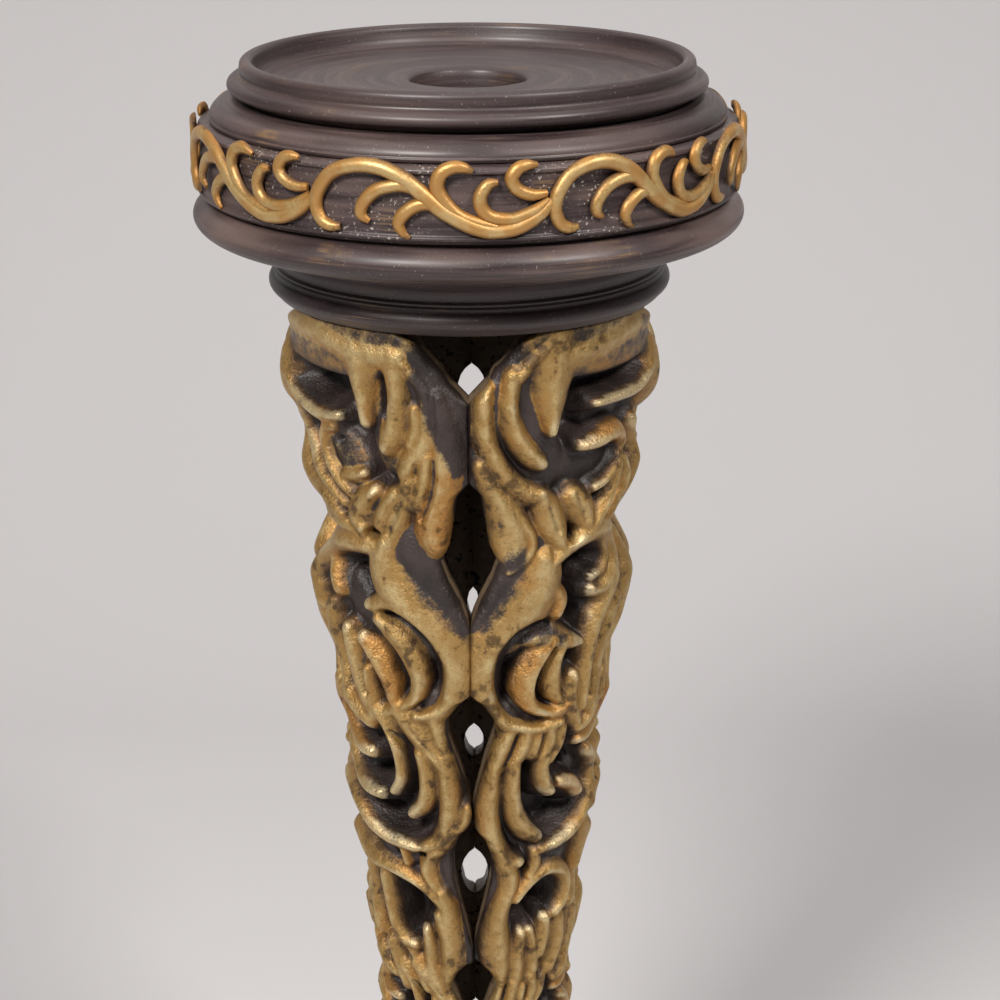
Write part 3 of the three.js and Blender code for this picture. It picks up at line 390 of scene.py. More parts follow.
gold = {
    "umber": "#3b2c1f",
    "dull": "#70563a",
    "ochre": "#a17f49",
    "orange": "#a87537",
    "pale": "#c6b07e",
    # highlightIvory is a painted highlight for the crests
    "highlightIvory": "#e3d5ae",
    "ground": "#201815",
    "groundLight": "#3a2f2c",
    # inner: a paler brown for the inside faces, painted light where little light gets in
    "inner": "#7a6650",
    "cloudSize": 9,
    "scrollPatch": 5,
    "carvedPatch": 2.6,
    "holeSize": 1.6,
    "poreSize": 0.5,
}


# Gold paint rubbed over the brown with a cloth, thinner on each stroke's slope, brown in the pores; the
# stroke runs from umber near the bed, as painted shade, to pale on its crown, as a painted highlight
def rubbedGoldPaint():
    finish, tree, shader = newFinish("rubbedGoldPaint")
    proud = attributes(tree, "proud")[0]
    place = objectPlace(tree)
    patches = grain(tree, place, gold["scrollPatch"], 3)
    pores = grain(tree, place, gold["poreSize"], 3, 0.6)
    level = plus(tree, proud, plus(tree, patches, pores))
    # By height over the bed: umber low down as painted shade, pale on the crown as a painted highlight
    color = blend(tree, level, 1.05, 1.5, gold["umber"], gold["dull"])
    color = blend(tree, level, 1.35, 1.75, color, gold["ochre"])
    color = blend(tree, level, 1.65, 2.1, color, gold["pale"], 0, 0.7)
    color = blend(tree, patches, 0.42, 0.6, color, gold["orange"], 0.2, 0.75)
    wire(tree, shader, color=color, metallic=ramp(tree, level, 1.0, 1.5, 0.1, 0.5),
         roughness=ramp(tree, level, 1.1, 1.8, 0.6, 0.42))
    relief(tree, shader, plus(tree, pores, patches), 0.12, 0.5)
    return finish


# Carved wood under dark brown paint, with gold paint rubbed on all that stands proud. The legs' own
# attributes say where: gilt is the gold's cover, crownShading runs from a stroke's edge to its crown and
# paints shade at the edge and a highlight on the crown, ridge marks the burnished crests, which get a
# painted ivory highlight, warm the orange gold, and inner the inside faces, whose paler brown is painted
# light
def rubbedGiltOnCarving():
    finish, tree, shader = newFinish("rubbedGiltOnCarving")
    gilt, crownShading, ridge, warm, inner = attributes(tree, "gilt", "crownShading", "ridge", "warm", "inner")
    place = objectPlace(tree)
    clouds = grain(tree, place, gold["cloudSize"], 3)
    patches = grain(tree, place, gold["carvedPatch"], 4, 0.6)
    pores = grain(tree, place, gold["poreSize"], 3, 0.65)
    mottle = plus(tree, clouds, patches)

    # Ground: brown paint outside; inside, a paler brown with darker pits, made paler as painted light where
    # little light gets in
    ground = blend(tree, clouds, 0.35, 0.7, gold["ground"], gold["groundLight"])
    holes = grain(tree, place, gold["holeSize"], 2)
    bare = blend(tree, holes, 0.34, 0.4, gold["ground"], gold["inner"])
    ground = mixColors(tree, inner, ground, bare)

    # Gold: painted shade at a stroke's edge, a painted highlight on its crown, orange and stained parts, and
    # painted ivory highlights on the crests
    shade = plus(tree, times(tree, crownShading, 0.8), times(tree, mottle, 0.6))
    metal = blend(tree, shade, 0.6, 0.95, gold["umber"], gold["dull"])
    metal = blend(tree, shade, 0.85, 1.2, metal, gold["ochre"])
    orange = blend(tree, shade, 0.6, 1.2, gold["umber"], gold["orange"])
    warmth = reckon(tree, "MAXIMUM", times(tree, warm, 0.8), ramp(tree, clouds, 0.5, 0.66, 0, 0.5))
    metal = mixColors(tree, warmth, metal, orange)
    metal = blend(tree, shade, 1.2, 1.55, metal, gold["pale"], 0, 0.8)
    metal = blend(tree, mottle, 0.74, 0.9, metal, gold["umber"], 0.7, 0)
    metal = blend(tree, pores, 0.3, 0.44, metal, gold["umber"], 0.5, 0)
    # Painted highlight: ivory where the crests (ridge) and the patches stand highest
    metal = blend(tree, plus(tree, ridge, patches), 0.7, 1.4, metal, gold["highlightIvory"], 0, 0.4)

    ragged = plus(tree, times(tree, patches, 0.75), times(tree, pores, 0.4))
    cover = ramp(tree, plus(tree, gilt, ragged), 0.62, 1.02)
    dull, rubbed = ramp(tree, pores, 0.3, 0.7, 0.34, 0.48), ramp(tree, ridge, 0.4, 1, 0, 0.1)
    roughness = reckon(tree, "SUBTRACT", dull, rubbed)
    wire(tree, shader, color=mixColors(tree, cover, ground, metal), metallic=times(tree, cover, 0.55),
         roughness=roughness)
    relief(tree, shader, plus(tree, pores, times(tree, patches, 2.4)), 0.24, 0.8)
    return finish


# Beech dowel, cut and left bare: pale, with short darker flecks along it
def bareBeech():
    finish, tree, shader = newFinish("bareBeech")
    place = objectPlace(tree)
    flecks = grain(tree, place, (0.5, 0.5, 4), 3)
    years = grain(tree, place, (2.5, 2.5, 40), 2)
    color = blend(tree, years, 0.35, 0.65, "#b8936a", "#caa880")
    color = blend(tree, flecks, 0.6, 0.72, color, "#8f6b46", 0, 0.6)
    wire(tree, shader, color=color, roughness=ramp(tree, flecks, 0.3, 0.7, 0.6, 0.75))
    relief(tree, shader, flecks, 0.05)
    return finish


# Zinc plated steel, drawn and plated: grey, with a faint bluish bloom and a worn sheen
def zincPlatedSteel():
    finish, tree, shader = newFinish("zincPlatedSteel")
    place = objectPlace(tree)
    bloom = grain(tree, place, 3, 3)
    scratches = grain(tree, place, (0.3, 0.3, 3), 3)
    color = blend(tree, bloom, 0.35, 0.65, "#9a9da0", "#b4b5b2")
    wire(tree, shader, color=color, roughness=ramp(tree, scratches, 0.3, 0.7, 0.28, 0.45))
    shader.inputs["Metallic"].default_value = 1.0
    relief(tree, shader, scratches, 0.02)
    return finish


# Pressed wool felt: black, matt and fibrous
def pressedFelt():
    finish, tree, shader = newFinish("pressedFelt")
    place = objectPlace(tree)
    fibres = grain(tree, place, (0.3, 1.2, 0.3), 5, 0.7)
    lint = grain(tree, place, 6, 2)
    color = blend(tree, fibres, 0.3, 0.7, "#141312", "#2c2927")
    color = blend(tree, lint, 0.55, 0.75, color, "#3a3633", 0, 0.3)
    wire(tree, shader, color=color, roughness=ramp(tree, fibres, 0.3, 0.7, 0.85, 1.0))
    shader.inputs["Sheen Weight"].default_value = 0.3
    relief(tree, shader, fibres, 0.15)
    return finish


finishes = {
    "paint": waxedBrownPaint("waxedBrownPaint"),
    "trayPaint": waxedBrownPaint("waxedBrownPaintOnTheTray", wornShare=0.25, streaks=0.45),
    "drumPaint": waxedBrownPaint("waxedBrownPaintWithFlecks", fleckShare=0.45, wornShare=0.45),
    "rolledPaint": waxedBrownPaint("waxedBrownPaintWornByHands", wornShare=0.8),
    "neckPaint": waxedBrownPaint("waxedBrownPaintInTheShade", wornShare=0.1),
    "scroll": rubbedGoldPaint(),
    "gilt": rubbedGiltOnCarving(),
    "bare_wood": bareBeech(),
    "zinc_steel": zincPlatedSteel(),
    "felt": pressedFelt(),
}
print("finishes made:", len(finishes))


# Turned pieces: an outline in the plane of radius and height, swept round the axis

def latheTree():
    tree, given = newTree("turnedRoundTheAxis", {
        "Outline": "Geometry", "Facets": "Int", "Pivot radius": "Float", "Finish": "Material"})
    circle = addNode(tree, "GeometryNodeCurvePrimitiveCircle", {
        "Resolution": given["Facets"], "Radius": given["Pivot radius"]})
    upright = addNode(tree, "GeometryNodeSetCurveNormal", {"Curve": circle.outputs["Curve"]}, mode="Z_UP")
    outline = addNode(tree, "GeometryNodeMeshToCurve", {"Mesh": given["Outline"]})
    swept = addNode(tree, "GeometryNodeCurveToMesh", {
        "Curve": upright.outputs["Curve"], "Profile Curve": outline.outputs["Curve"]})
    merged = addNode(tree, "GeometryNodeMergeByDistance", {
        "Geometry": swept.outputs["Mesh"], "Distance": 0.005 * mm})
    smooth = addNode(tree, "GeometryNodeSetShadeSmooth", {"Geometry": merged.outputs["Geometry"]})
    endTree(tree, smooth.outputs["Geometry"], given["Finish"])
    return tree


lathe = {"tree": latheTree(), "facets": 240, "pivot": 20}


# A ring's outline closes on itself; a solid's starts and ends on the axis
def turn(name, corners, node, ring=True, finish="paint"):
    outline = softened(corners, ring)
    points = [((radius - lathe["pivot"]) * mm, -height * mm, 0) for radius, height in outline]
    line = linkPiece(name + "Outline", lineMesh(name, [points], closed=ring))
    piece = runTree(line, lathe["tree"], name, {
        "Facets": lathe["facets"], "Pivot radius": lathe["pivot"] * mm, "Finish": finishes[finish]})
    standFor(piece, "dark_paint", node)
    return piece


tray = {
    "hole": 11,
    "mouth": 1.3,
    "spigot": 30,
    "underRing": 44.2,
    "ring": 46.4,
    "ringBelowEdge": 3.6,
    "neck": 43.9,
    "lipOuter": 43.9,
    "lipInner": 41.3,
    "lipHeight": 1.2,
    "dishDepth": 3.2,
    "floorRing": 15.5,
}


def turnTray():
    edge = highest("candle_tray") - tray["lipHeight"]
    spigotBase = lowest("candle_tray")
    seat = highest("shoulder_ring") + 0.1
    floor = edge - tray["dishDepth"]
    hole, inner = tray["hole"], tray["lipInner"]
    lipHalf = (tray["lipOuter"] - inner) / 2
    turn("turnedTray", [
        (hole, spigotBase), (tray["spigot"], spigotBase), (tray["spigot"], seat),
        (tray["underRing"] - 0.7, seat), (tray["underRing"], seat + 0.9),
        *arc(tray["ring"] - 1.7, edge - tray["ringBelowEdge"], 1.7, 1.35, -80, 80),
        (tray["neck"] + 0.15, edge - 2.0), (tray["neck"] - 0.1, edge - 1.5),
        (tray["lipOuter"] + 0.1, edge - 0.8),
        *arc(inner + lipHalf, edge, lipHalf, tray["lipHeight"], 0, 180, 14),
        (inner - 0.2, edge - 0.9),
        *arc(inner - 2.4, edge - 1.0, 2.1, 2.2, -10, -90, 8),
        (tray["floorRing"] + 0.7, floor), (tray["floorRing"], floor + 0.12), (tray["floorRing"] - 0.7, floor),
        (hole + tray["mouth"], floor), (hole + tray["mouth"] * 0.25, floor - 0.45), (hole, floor - 1.6),
    ], "candle_tray", finish="trayPaint")


shoulder = {"hole": 30.3, "top": 46.0, "lip": 50.2, "lipHeight": 0.7}


def turnShoulder():
    low, high = lowest("shoulder_ring"), highest("shoulder_ring")
    top = shoulder["top"]
    reach = shoulder["lip"] - top
    turn("turnedShoulder", [
        (shoulder["hole"], low), (shoulder["lip"] - 0.3, low), (shoulder["lip"], low + shoulder["lipHeight"]),
        *arc(top - 0.6, low + shoulder["lipHeight"] + 0.3, reach + 0.3, high - low - 1.3, 0, 76, 12),
        (top - 0.3, high), (shoulder["hole"], high),
    ], "shoulder_ring")


drum = {
    "radius": 52.0,
    "flare": 0.5,
    "line": 0.55,
    "topEdge": 51.0,
    "spigot": 24,
    "socket": 11.3,
    "socketDepth": 12.8,
}


def turnDrum():
    base, high = lowest("frieze_drum"), highest("frieze_drum")
    low = highest("torus_ring") + 0.1
    radius, foot, line = drum["radius"], drum["radius"] + drum["flare"], drum["line"]
    turn("turnedDrum", [
        (0, base), (drum["spigot"], base), (drum["spigot"], low), (foot - 0.9, low), (foot - 0.55, low + 0.5),
        (foot + 0.1, low + 0.75), (foot + 0.15, low + 0.75 + line), (foot - 0.3, low + 1.1 + line),
        (radius - 0.25, high - 1.0 - line), (radius + 0.25, high - 0.75 - line), (radius + 0.2, high - 0.55),
        (drum["topEdge"], high - 0.15), (drum["topEdge"] - 0.5, high), (drum["socket"], high),
        (drum["socket"], high - drum["socketDepth"]), (0, high - drum["socketDepth"]),
    ], "frieze_drum", ring=False, finish="drumPaint")


torus = {"radius": 53.8, "roll": 6.5, "under": 45.5, "top": 50.2, "topEdge": 49.8, "hole": 24.3}


def turnTorus():
    low, high = lowest("torus_ring"), highest("torus_ring")
    half = (high - low) / 2
    turn("turnedTorus", [
        (torus["hole"], low), (torus["under"], low), (torus["under"] + 1.2, low + 0.5),
        *arc(torus["radius"] - torus["roll"], low + half + 0.25, torus["roll"], half - 0.35, -72, 66, 18),
        (torus["top"], high - 0.15), (torus["topEdge"], high), (torus["hole"], high),
    ], "torus_ring", finish="rolledPaint")


neck = {"top": 45.0, "throat": 37.9, "bead": 39.6, "foot": 38.0}


def turnNeck():
    low, high = lowest("neck_ring"), highest("neck_ring")
    throat, bead = neck["throat"], neck["bead"]
    turn("turnedNeck", [
        (0, low), (neck["foot"] - 0.6, low), (neck["foot"], low + 0.5),
        *arc(bead - 2.0, low + 2.9, 2.0, 1.9, -62, 62, 12),
        (throat + 0.5, low + 5.0), (throat + 0.75, low + 5.35), (throat + 0.35, low + 5.75),
        (throat + 0.55, low + 6.15), (throat + 0.1, low + 6.5),
        *arc(neck["top"], high - 5.4, neck["top"] - throat, 4.6, 178, 100, 12),
        (neck["top"], high - 0.45), (neck["top"] - 0.3, high), (0, high),
    ], "neck_ring", ring=False, finish="neckPaint")


foot = {
    "boltHole": 3.3,
    "collarTop": 20,
    "collarBead": 28.6,
    "domeTop": 26,
    "domeBelly": 37,
    "domeHollow": 40,
    "dome": 51,
    "plinth": 57.5,
    "recess": 12,
    "recessDepth": 6,
}


def turnFoot():
    hole = foot["boltHole"]
    low, high = lowest("foot_collar"), highest("foot_collar")
    turn("turnedCollar", [
        (hole, low), (foot["domeTop"], low), (foot["domeTop"], low + 0.8),
        *arc(foot["collarBead"] - 2.6, low + 3.9, 2.6, 2.8, -75, 75, 14),
        (foot["collarTop"] + 3.6, high - 2.3), (foot["collarTop"] + 2, high - 1.4),
        (foot["collarTop"] + 1.6, high - 0.3), (foot["collarTop"], high), (hole, high),
    ], "foot_collar")
    low, high = lowest("base_dome"), highest("base_dome")
    rise, hollow = high - low, foot["domeHollow"]
    turn("turnedDome", [
        (hole, low), (foot["dome"], low), (foot["dome"], low + 1.6), (foot["dome"] - 1.2, low + 2.4),
        (foot["dome"] - 1.6, low + 3.2),
        *arc(foot["domeBelly"], low + 3.2, 12, rise * 0.36, 4, 78, 14),
        *arc(hollow, low + rise * 0.92, hollow - foot["domeTop"] - 0.6, rise * 0.42, 262, 184, 14),
        (foot["domeTop"] + 1.2, high - 0.8), (foot["domeTop"], high), (hole, high),
    ], "base_dome")
    low, high = lowest("base_plinth"), highest("base_plinth")
    rise = high - low
    turn("turnedPlinth", [
        (hole, low + foot["recessDepth"]), (foot["recess"], low + foot["recessDepth"]), (foot["recess"], low),
        (foot["plinth"] - 3, low), (foot["plinth"] - 2.2, low + 1.2),
        *arc(foot["plinth"] - 4, low + rise * 0.45, 4, rise * 0.33, -68, 72, 16),
        (foot["dome"] + 2.6, high - 2.7), (foot["dome"] + 1.6, high - 2.2), (foot["dome"] + 1.4, high - 0.5),
        (foot["dome"] + 0.8, high), (hole, high),
    ], "base_plinth")


turnTray()
turnShoulder()
turnDrum()
turnTorus()
turnNeck()
turnFoot()
print("turned pieces made")


# Applied scroll: eight lengths of one ornament, pressed flat and bent round the drum. A point is
# its share along the length, its height in the band, and the stroke's width there.
scroll = {
    "bed": 52.6,
    "relief": 1.15,
    "bandLow": 0.5,
    "firstAngle": -80.6,
    "handCut": (49.4, 47.7, 41.7),
    "count": 8,
    "breadth": 1.16,
    "step": 0.35,
    "sides": 14,
    "ornament": [
        [(0.135, 2.2, 1.2), (0.085, 2.2, 1.9), (0.045, 3.2, 2.1), (0.021, 5.7, 2.2), (0.039, 8.7, 2.3),
         (0.104, 11.9, 2.3), (0.212, 13.4, 2.4), (0.313, 13.2, 2.5), (0.409, 11.4, 2.6), (0.498, 8.3, 2.6),
         (0.565, 5.9, 2.6), (0.65, 3.8, 2.6), (0.72, 2.6, 2.5), (0.775, 2.2, 2.4), (0.864, 2.8, 2.4),
         (0.948, 4.7, 2.2), (1.01, 7.2, 1.6), (1.03, 8.4, 0.8)],
        [(0.498, 8.5, 2.0), (0.444, 9.9, 2.2), (0.378, 10.2, 2.2), (0.292, 9.1, 2.2), (0.235, 6.6, 2.1),
         (0.228, 4.7, 1.9), (0.262, 3.5, 0.9)],
        [(0.56, 6.8, 1.8), (0.478, 7.0, 2.1), (0.417, 5.6, 2.2), (0.385, 3.6, 2.0), (0.402, 1.8, 1.4),
         (0.43, 0.9, 0.8)],
        [(0.685, 12.8, 0.9), (0.65, 13.5, 1.7), (0.605, 13.6, 2.1), (0.557, 12.4, 2.3), (0.543, 9.9, 2.3),
         (0.58, 7.1, 2.2), (0.636, 4.9, 2.1), (0.715, 3.6, 2.0), (0.78, 2.9, 1.6)],
        [(0.785, 10.9, 0.9), (0.75, 10.6, 1.8), (0.725, 9.4, 2.1), (0.713, 7.8, 2.2), (0.727, 5.9, 2.2),
         (0.77, 4.6, 2.1), (0.85, 4.4, 2.1), (0.933, 5.6, 2.0), (0.995, 7.4, 1.3)],
        [(0.945, 13.7, 0.9), (0.905, 13.8, 1.7), (0.865, 13.2, 2.1), (0.84, 11.5, 2.2), (0.862, 9.6, 2.1),
         (0.92, 8.5, 1.9), (0.985, 8.6, 1.2)],
    ],
}


# Strokes with a half-round section, swept along smooth lines on the flat and then bent round the drum
def scrollTree():
    tree, given = newTree("scrollBentRoundTheDrum", {
        "Strokes": "Geometry", "Start angle": "Float", "Bed radius": "Float", "Band height": "Float",
        "Step": "Float", "Section sides": "Int", "Finish": "Material"})
    lines = addNode(tree, "GeometryNodeMeshToCurve", {"Mesh": given["Strokes"]})
    curved = addNode(tree, "GeometryNodeCurveSplineType", {"Curve": lines.outputs["Curve"]},
                     spline_type="CATMULL_ROM")
    upright = addNode(tree, "GeometryNodeSetCurveNormal", {"Curve": curved.outputs["Curve"]}, mode="Z_UP")
    fine = addNode(tree, "GeometryNodeResampleCurve", {"Curve": upright.outputs["Curve"]}, mode="LENGTH")
    tree.links.new(given["Step"], fine.inputs["Length"])
    width = addNode(tree, "GeometryNodeInputNamedAttribute", {"Name": "halfWidth"}, data_type="FLOAT")
    sized = addNode(tree, "GeometryNodeSetCurveRadius", {
        "Curve": fine.outputs["Curve"], "Radius": width.outputs["Attribute"]})
    section = addNode(tree, "GeometryNodeCurveArc", {
        "Resolution": given["Section sides"], "Radius": 1.0, "Start Angle": -math.pi, "Sweep Angle": math.pi})
    closed = addNode(tree, "GeometryNodeSetSplineCyclic", {
        "Geometry": section.outputs["Curve"], "Cyclic": True})
    swept = addNode(tree, "GeometryNodeCurveToMesh", {
        "Curve": sized.outputs["Curve"], "Profile Curve": closed.outputs["Geometry"],
        "Scale": width.outputs["Attribute"], "Fill Caps": True})
    position = addNode(tree, "GeometryNodeInputPosition").outputs[0]
    axes = addNode(tree, "ShaderNodeSeparateXYZ", {0: position}).outputs
    proud = reckon(tree, "DIVIDE", axes[2], scroll["relief"] * mm)
    marked = addNode(tree, "GeometryNodeStoreNamedAttribute", {
        "Geometry": swept.outputs["Mesh"], "Name": "proud", "Value": proud,
    }, data_type="FLOAT", domain="POINT")
    angle = plus(tree, reckon(tree, "DIVIDE", axes[0], given["Bed radius"]), given["Start angle"])
    radius = plus(tree, axes[2], given["Bed radius"])
    x, y = [times(tree, radius, reckon(tree, wave, angle)) for wave in ("COSINE", "SINE")]
    z = plus(tree, axes[1], given["Band height"])
    place = addNode(tree, "ShaderNodeCombineXYZ", {0: x, 1: y, 2: z}).outputs[0]
    bent = addNode(tree, "GeometryNodeSetPosition", {
        "Geometry": marked.outputs["Geometry"], "Position": place})
    smooth = addNode(tree, "GeometryNodeSetShadeSmooth", {"Geometry": bent.outputs["Geometry"]})
    endTree(tree, smooth.outputs["Geometry"], given["Finish"])
    return tree


def bendScrolls():
    tree = scrollTree()
    plain = (360 - sum(scroll["handCut"])) / (scroll["count"] - len(scroll["handCut"]))
    sweeps = [*scroll["handCut"], *[plain] * (scroll["count"] - len(scroll["handCut"]))]
    angle = scroll["firstAngle"]
    strokes = scroll["ornament"]
    halves = [width * scroll["breadth"] / 2 * mm for line in strokes for share, up, width in line]
    for i, sweep in enumerate(sweeps):
        length = math.radians(sweep) * scroll["bed"]
        lines = [[(share * length * mm, up * mm, 0) for share, up, width in line] for line in strokes]
        mesh = lineMesh("strokes", lines)
        mesh.attributes.new("halfWidth", "FLOAT", "POINT").data.foreach_set("value", halves)
        node = f"frieze_scroll_{i + 1}"
        piece = runTree(linkPiece(node + "Strokes", mesh), tree, f"scrollLength{i + 1}", {
            "Start angle": math.radians(angle - 90), "Bed radius": scroll["bed"] * mm,
            "Band height": (highest("torus_ring") + scroll["bandLow"]) * mm, "Step": scroll["step"] * mm,
            "Section sides": scroll["sides"], "Finish": finishes["scroll"]})
        standFor(piece, "rubbed_gold", node)
        angle += sweep


bendScrolls()
print("scroll bent round the drum")


# Carved legs. A leg is a quarter of the shaft. Its outside is drawn as seen from the seam it starts
# at: a stroke's point is (degrees from that seam, depth below the neck, width). Its crown lies on the
# smooth taper in front and on the shaft's outline at the sides. drop sinks it, lean moves the crown
# across the stroke, and gilt below 0 leaves it in dark paint. A hollow or a pit is (degrees from that
# seam, depth, half its angle, half its height, how much deeper it is).
shaft = {
    "tierHeights": (47, 38, 30, 30, 26, 22, 17),
    "taper": [(0, 38.0), (47, 34.0), (85, 31.0), (115, 27.8), (145, 24.4), (171, 21.5), (210, 17.0)],
    "outline": [
        (0, 37.4), (9, 37.4), (14, 38.4), (18, 38), (25, 34.6), (29, 33.9), (34, 35.3), (39, 33.6),
        (45, 29.8), (48, 30.4), (53, 32.5), (57, 34.1), (61, 33.5), (67, 32.2), (74, 29.2), (80, 29.8),
        (84, 29.8), (87, 28.2), (92, 26.2), (96, 27.9), (100.4, 26.4), (105, 27.9), (109, 26.6),
        (112, 27.3), (116, 26.2), (121, 24.4), (125, 22.6), (133, 24.2), (141, 22.6), (145, 20.6),
        (148, 20.9), (153, 22.1), (159, 21.7), (164, 20.4), (168, 21), (171, 20.5), (177, 18.6),
        (183, 19.7), (191, 18.1), (193, 17.7), (199, 18.2), (205, 17.3), (210, 16.5),
    ],
    "outlineFrom": 48,
    "outlineFull": 76,
    "frontSlot": [
        (0, 12.8), (2, 9.5), (5, 7.2), (8, 4.6), (10, 3.6), (12, 1.8), (14, 0), (30, 0), (33, 2.2),
        (37, 2.8), (43, 3.8), (47, 5.6), (51, 4.2), (55, 2.2), (59, 0.6), (61, 0), (75, 0), (78, 2.8),
        (81, 4.6), (85, 4.6), (92, 2.5), (102, 0), (106, 0), (109, 2.6), (113, 3.8), (119, 3.8),
        (127, 2.2), (136, 0), (139, 0), (142, 3.4), (145, 5), (149, 3.2), (160, 0), (164, 0), (170, 2.8),
        (174, 2.8), (184, 0), (188, 0), (194, 2.8), (198, 1.6), (205, 0),
    ],
    "rearSlot": [
        (0, 0), (23, 0), (24, 1.3), (25.4, 2.3), (27.5, 3), (30, 3), (32, 2.3), (33.2, 1.2), (34, 0),
        (72, 0), (73, 0.8), (75, 1.3), (78, 1.3), (80, 0.8), (81, 0), (103, 0), (103.8, 1.1), (105.2, 1.9),
        (107, 2.2), (108.8, 1.9), (110.2, 1.1), (111, 0), (132, 0), (133, 1.3), (134.6, 2.4), (136.6, 3),
        (138.8, 2.9), (141, 2.2), (142.4, 1.2), (143, 0), (168, 0), (169.6, 1.7), (172, 2.4), (175.4, 2.4),
        (178, 1.7), (180, 0), (192, 0), (195, 2), (199, 1.2), (204, 0),
    ],
    "touch": -0.03,
    "swell": 1.14,
    "wallSlope": 2.8,
    "wallReach": 3.4,
    "coreTop": 28.5,
    "coreFoot": 8.0,
    "wall": 1.6,
    "columns": 150,
    "rowHeight": 0.36,
    "insideColumns": 10,
    "sideColumns": 5,
    "groundDepth": (5.6, 5.4, 4.8, 4.2, 3.8, 3.2, 2.6),
    "edgeRound": 2.6,
    "closedRound": 0.5,
}


def stroke(*path, drop=0.3, gilt=1.0, warm=0.0, rise=1.0, lean=0.0):
    return {"path": path, "drop": drop, "gilt": gilt, "warm": warm, "rise": rise, "lean": lean}


def dark(*path, drop=1.5, rise=0.6, lean=0.0, gilt=-0.3):
    return stroke(*path, drop=drop + 0.9, gilt=gilt, rise=rise, lean=lean)


# A groove cut into the strokes: drop is how deep it goes
def cut(*path, drop=0.9):
    return {"path": path, "drop": drop, "cut": True}


# Brown paint left showing through the gold, with soft edges
def stain(*path, gilt=0.7):
    return {"path": path, "drop": 0, "stain": gilt}


# Carving left of the front seam, tier by tier
leftFirst = [
    stroke((89, 3, 13), (45, 3, 13), (20, 3, 11), drop=1.0, rise=0.3, gilt=0.2),
    stroke((89, 3, 9), (70, 2.6, 8.6), (50, 3, 8.4), (40, 4.4, 9), (30, 5, 9), (21, 4.6, 7.4)),
    dark((20, 3, 9), (15, 8, 11), (9, 12, 11), (6, 18, 9), drop=1.0, rise=0.5),
    dark((24, 10, 12), (26, 16, 11), (24, 24, 11), drop=1.6, rise=0.5, gilt=0.15),
    stroke((35.4, 7, 9), (35.2, 11, 6.6), (34.4, 15, 4.8), (33.8, 18.6, 2.8), drop=0),
    stroke((23, 5, 8), (22.4, 10, 5.8), (22.6, 14, 5.6), (24, 18, 6), (25.5, 21, 6), (26.8, 23.2, 4.4),
        drop=0),
    stroke((21, 5, 3.4), (16, 8.5, 2.8), (13, 11.5, 2.8), (12.5, 14.5, 2.4), drop=0.2),
    stroke((17, 15, 2.6), (17, 19, 3.2), (19, 22.3, 2.8), drop=0.9),
    stroke((13, 13, 3.4), (13, 18, 4.6), (15, 22.5, 6.2), (18.5, 26, 6.6), (20.7, 28.3, 5)),
    dark((3, 18, 7), (2.5, 26, 8), (3, 34, 7), (5, 40, 5), drop=1.6, rise=0.5),
    stroke((9, 12, 2), (7.4, 18, 6), (7, 24, 7.6), (8.2, 30, 7.8), (10.6, 36, 8.6), (11.6, 40, 8.8),
        (11, 42.6, 7), drop=0, warm=0.9, lean=0.35),
    stroke((13.6, 24.5, 3.4), (14.2, 28.4, 4.8), (15.8, 32, 5), (18, 34.6, 3.8), drop=0.4),
    cut((11, 25, 0.8), (11.4, 29.5, 1.4), (12.8, 33.6, 1.5), (15.6, 37.2, 1.2), drop=1.2),
    cut((17, 26, 0.8), (18.2, 30.4, 1.4), drop=1.0),
    stain((12, 9, 9), (9, 14, 9), (6, 20, 8), (4, 25, 5), gilt=1.3),
    stain((3.6, 28, 3), (5, 36, 3)),
    stroke((20, 30, 4), (22.5, 35, 5), (26, 39.4, 5.6), (28.5, 43.6, 3.4)),
    cut((22, 33.5, 1.4), (25, 37.5, 1.5), (28, 41.3, 1.2), drop=1.0),
    stroke((25, 33, 4), (29, 35.8, 5), (32.5, 40, 4.6), drop=0.8, gilt=0.85),
    stroke((33, 33.4, 4), (38, 35.8, 6.8), (41.5, 39.2, 6.6), (38.6, 41.6, 4.4), drop=0.1),
    cut((31, 34, 1.4), (35, 37.2, 1.3), drop=0.9),
    stroke((53, 23, 5), (47, 27, 9), (42.5, 29.6, 9), (39, 32, 6), drop=1.9, gilt=0.08, rise=0.7),
    stroke((49, 21.6, 2.2), (54, 22.6, 3), (56, 25.5, 3.2), (53, 29.5, 3.2), (48, 32.6, 3), (43, 34.4, 2.6),
        drop=0.4),
    stroke((46, 31.2, 3), (41, 30.6, 3.6), (37, 29.8, 2.2), drop=0.9),
    stroke((69, 20.6, 2.4), (72.5, 23.5, 3.2), (70, 27.4, 3.2), (62, 31.4, 3.2), (53, 34.6, 3),
        (46, 36.8, 2.2), drop=0.2),
    stroke((84, 13, 3), (72, 18, 3), (61, 20.2, 3), (52, 20, 2.4), (46, 19, 1.8), drop=0.5, lean=-0.4),
    stroke((88, 4, 9), (83, 9, 9), (81, 14, 9), (82, 20, 8), drop=0),
    stroke((50, 40, 4), (60, 37.4, 5), (72, 36.5, 5), (82, 32, 5), (86, 26.5, 4.6), (82, 22.5, 3.6),
        drop=0.4),
    stroke((44, 42.4, 3), (56, 41.6, 4.4), (70, 42.4, 5), (84, 42, 5), drop=0.9, gilt=0.8),
]

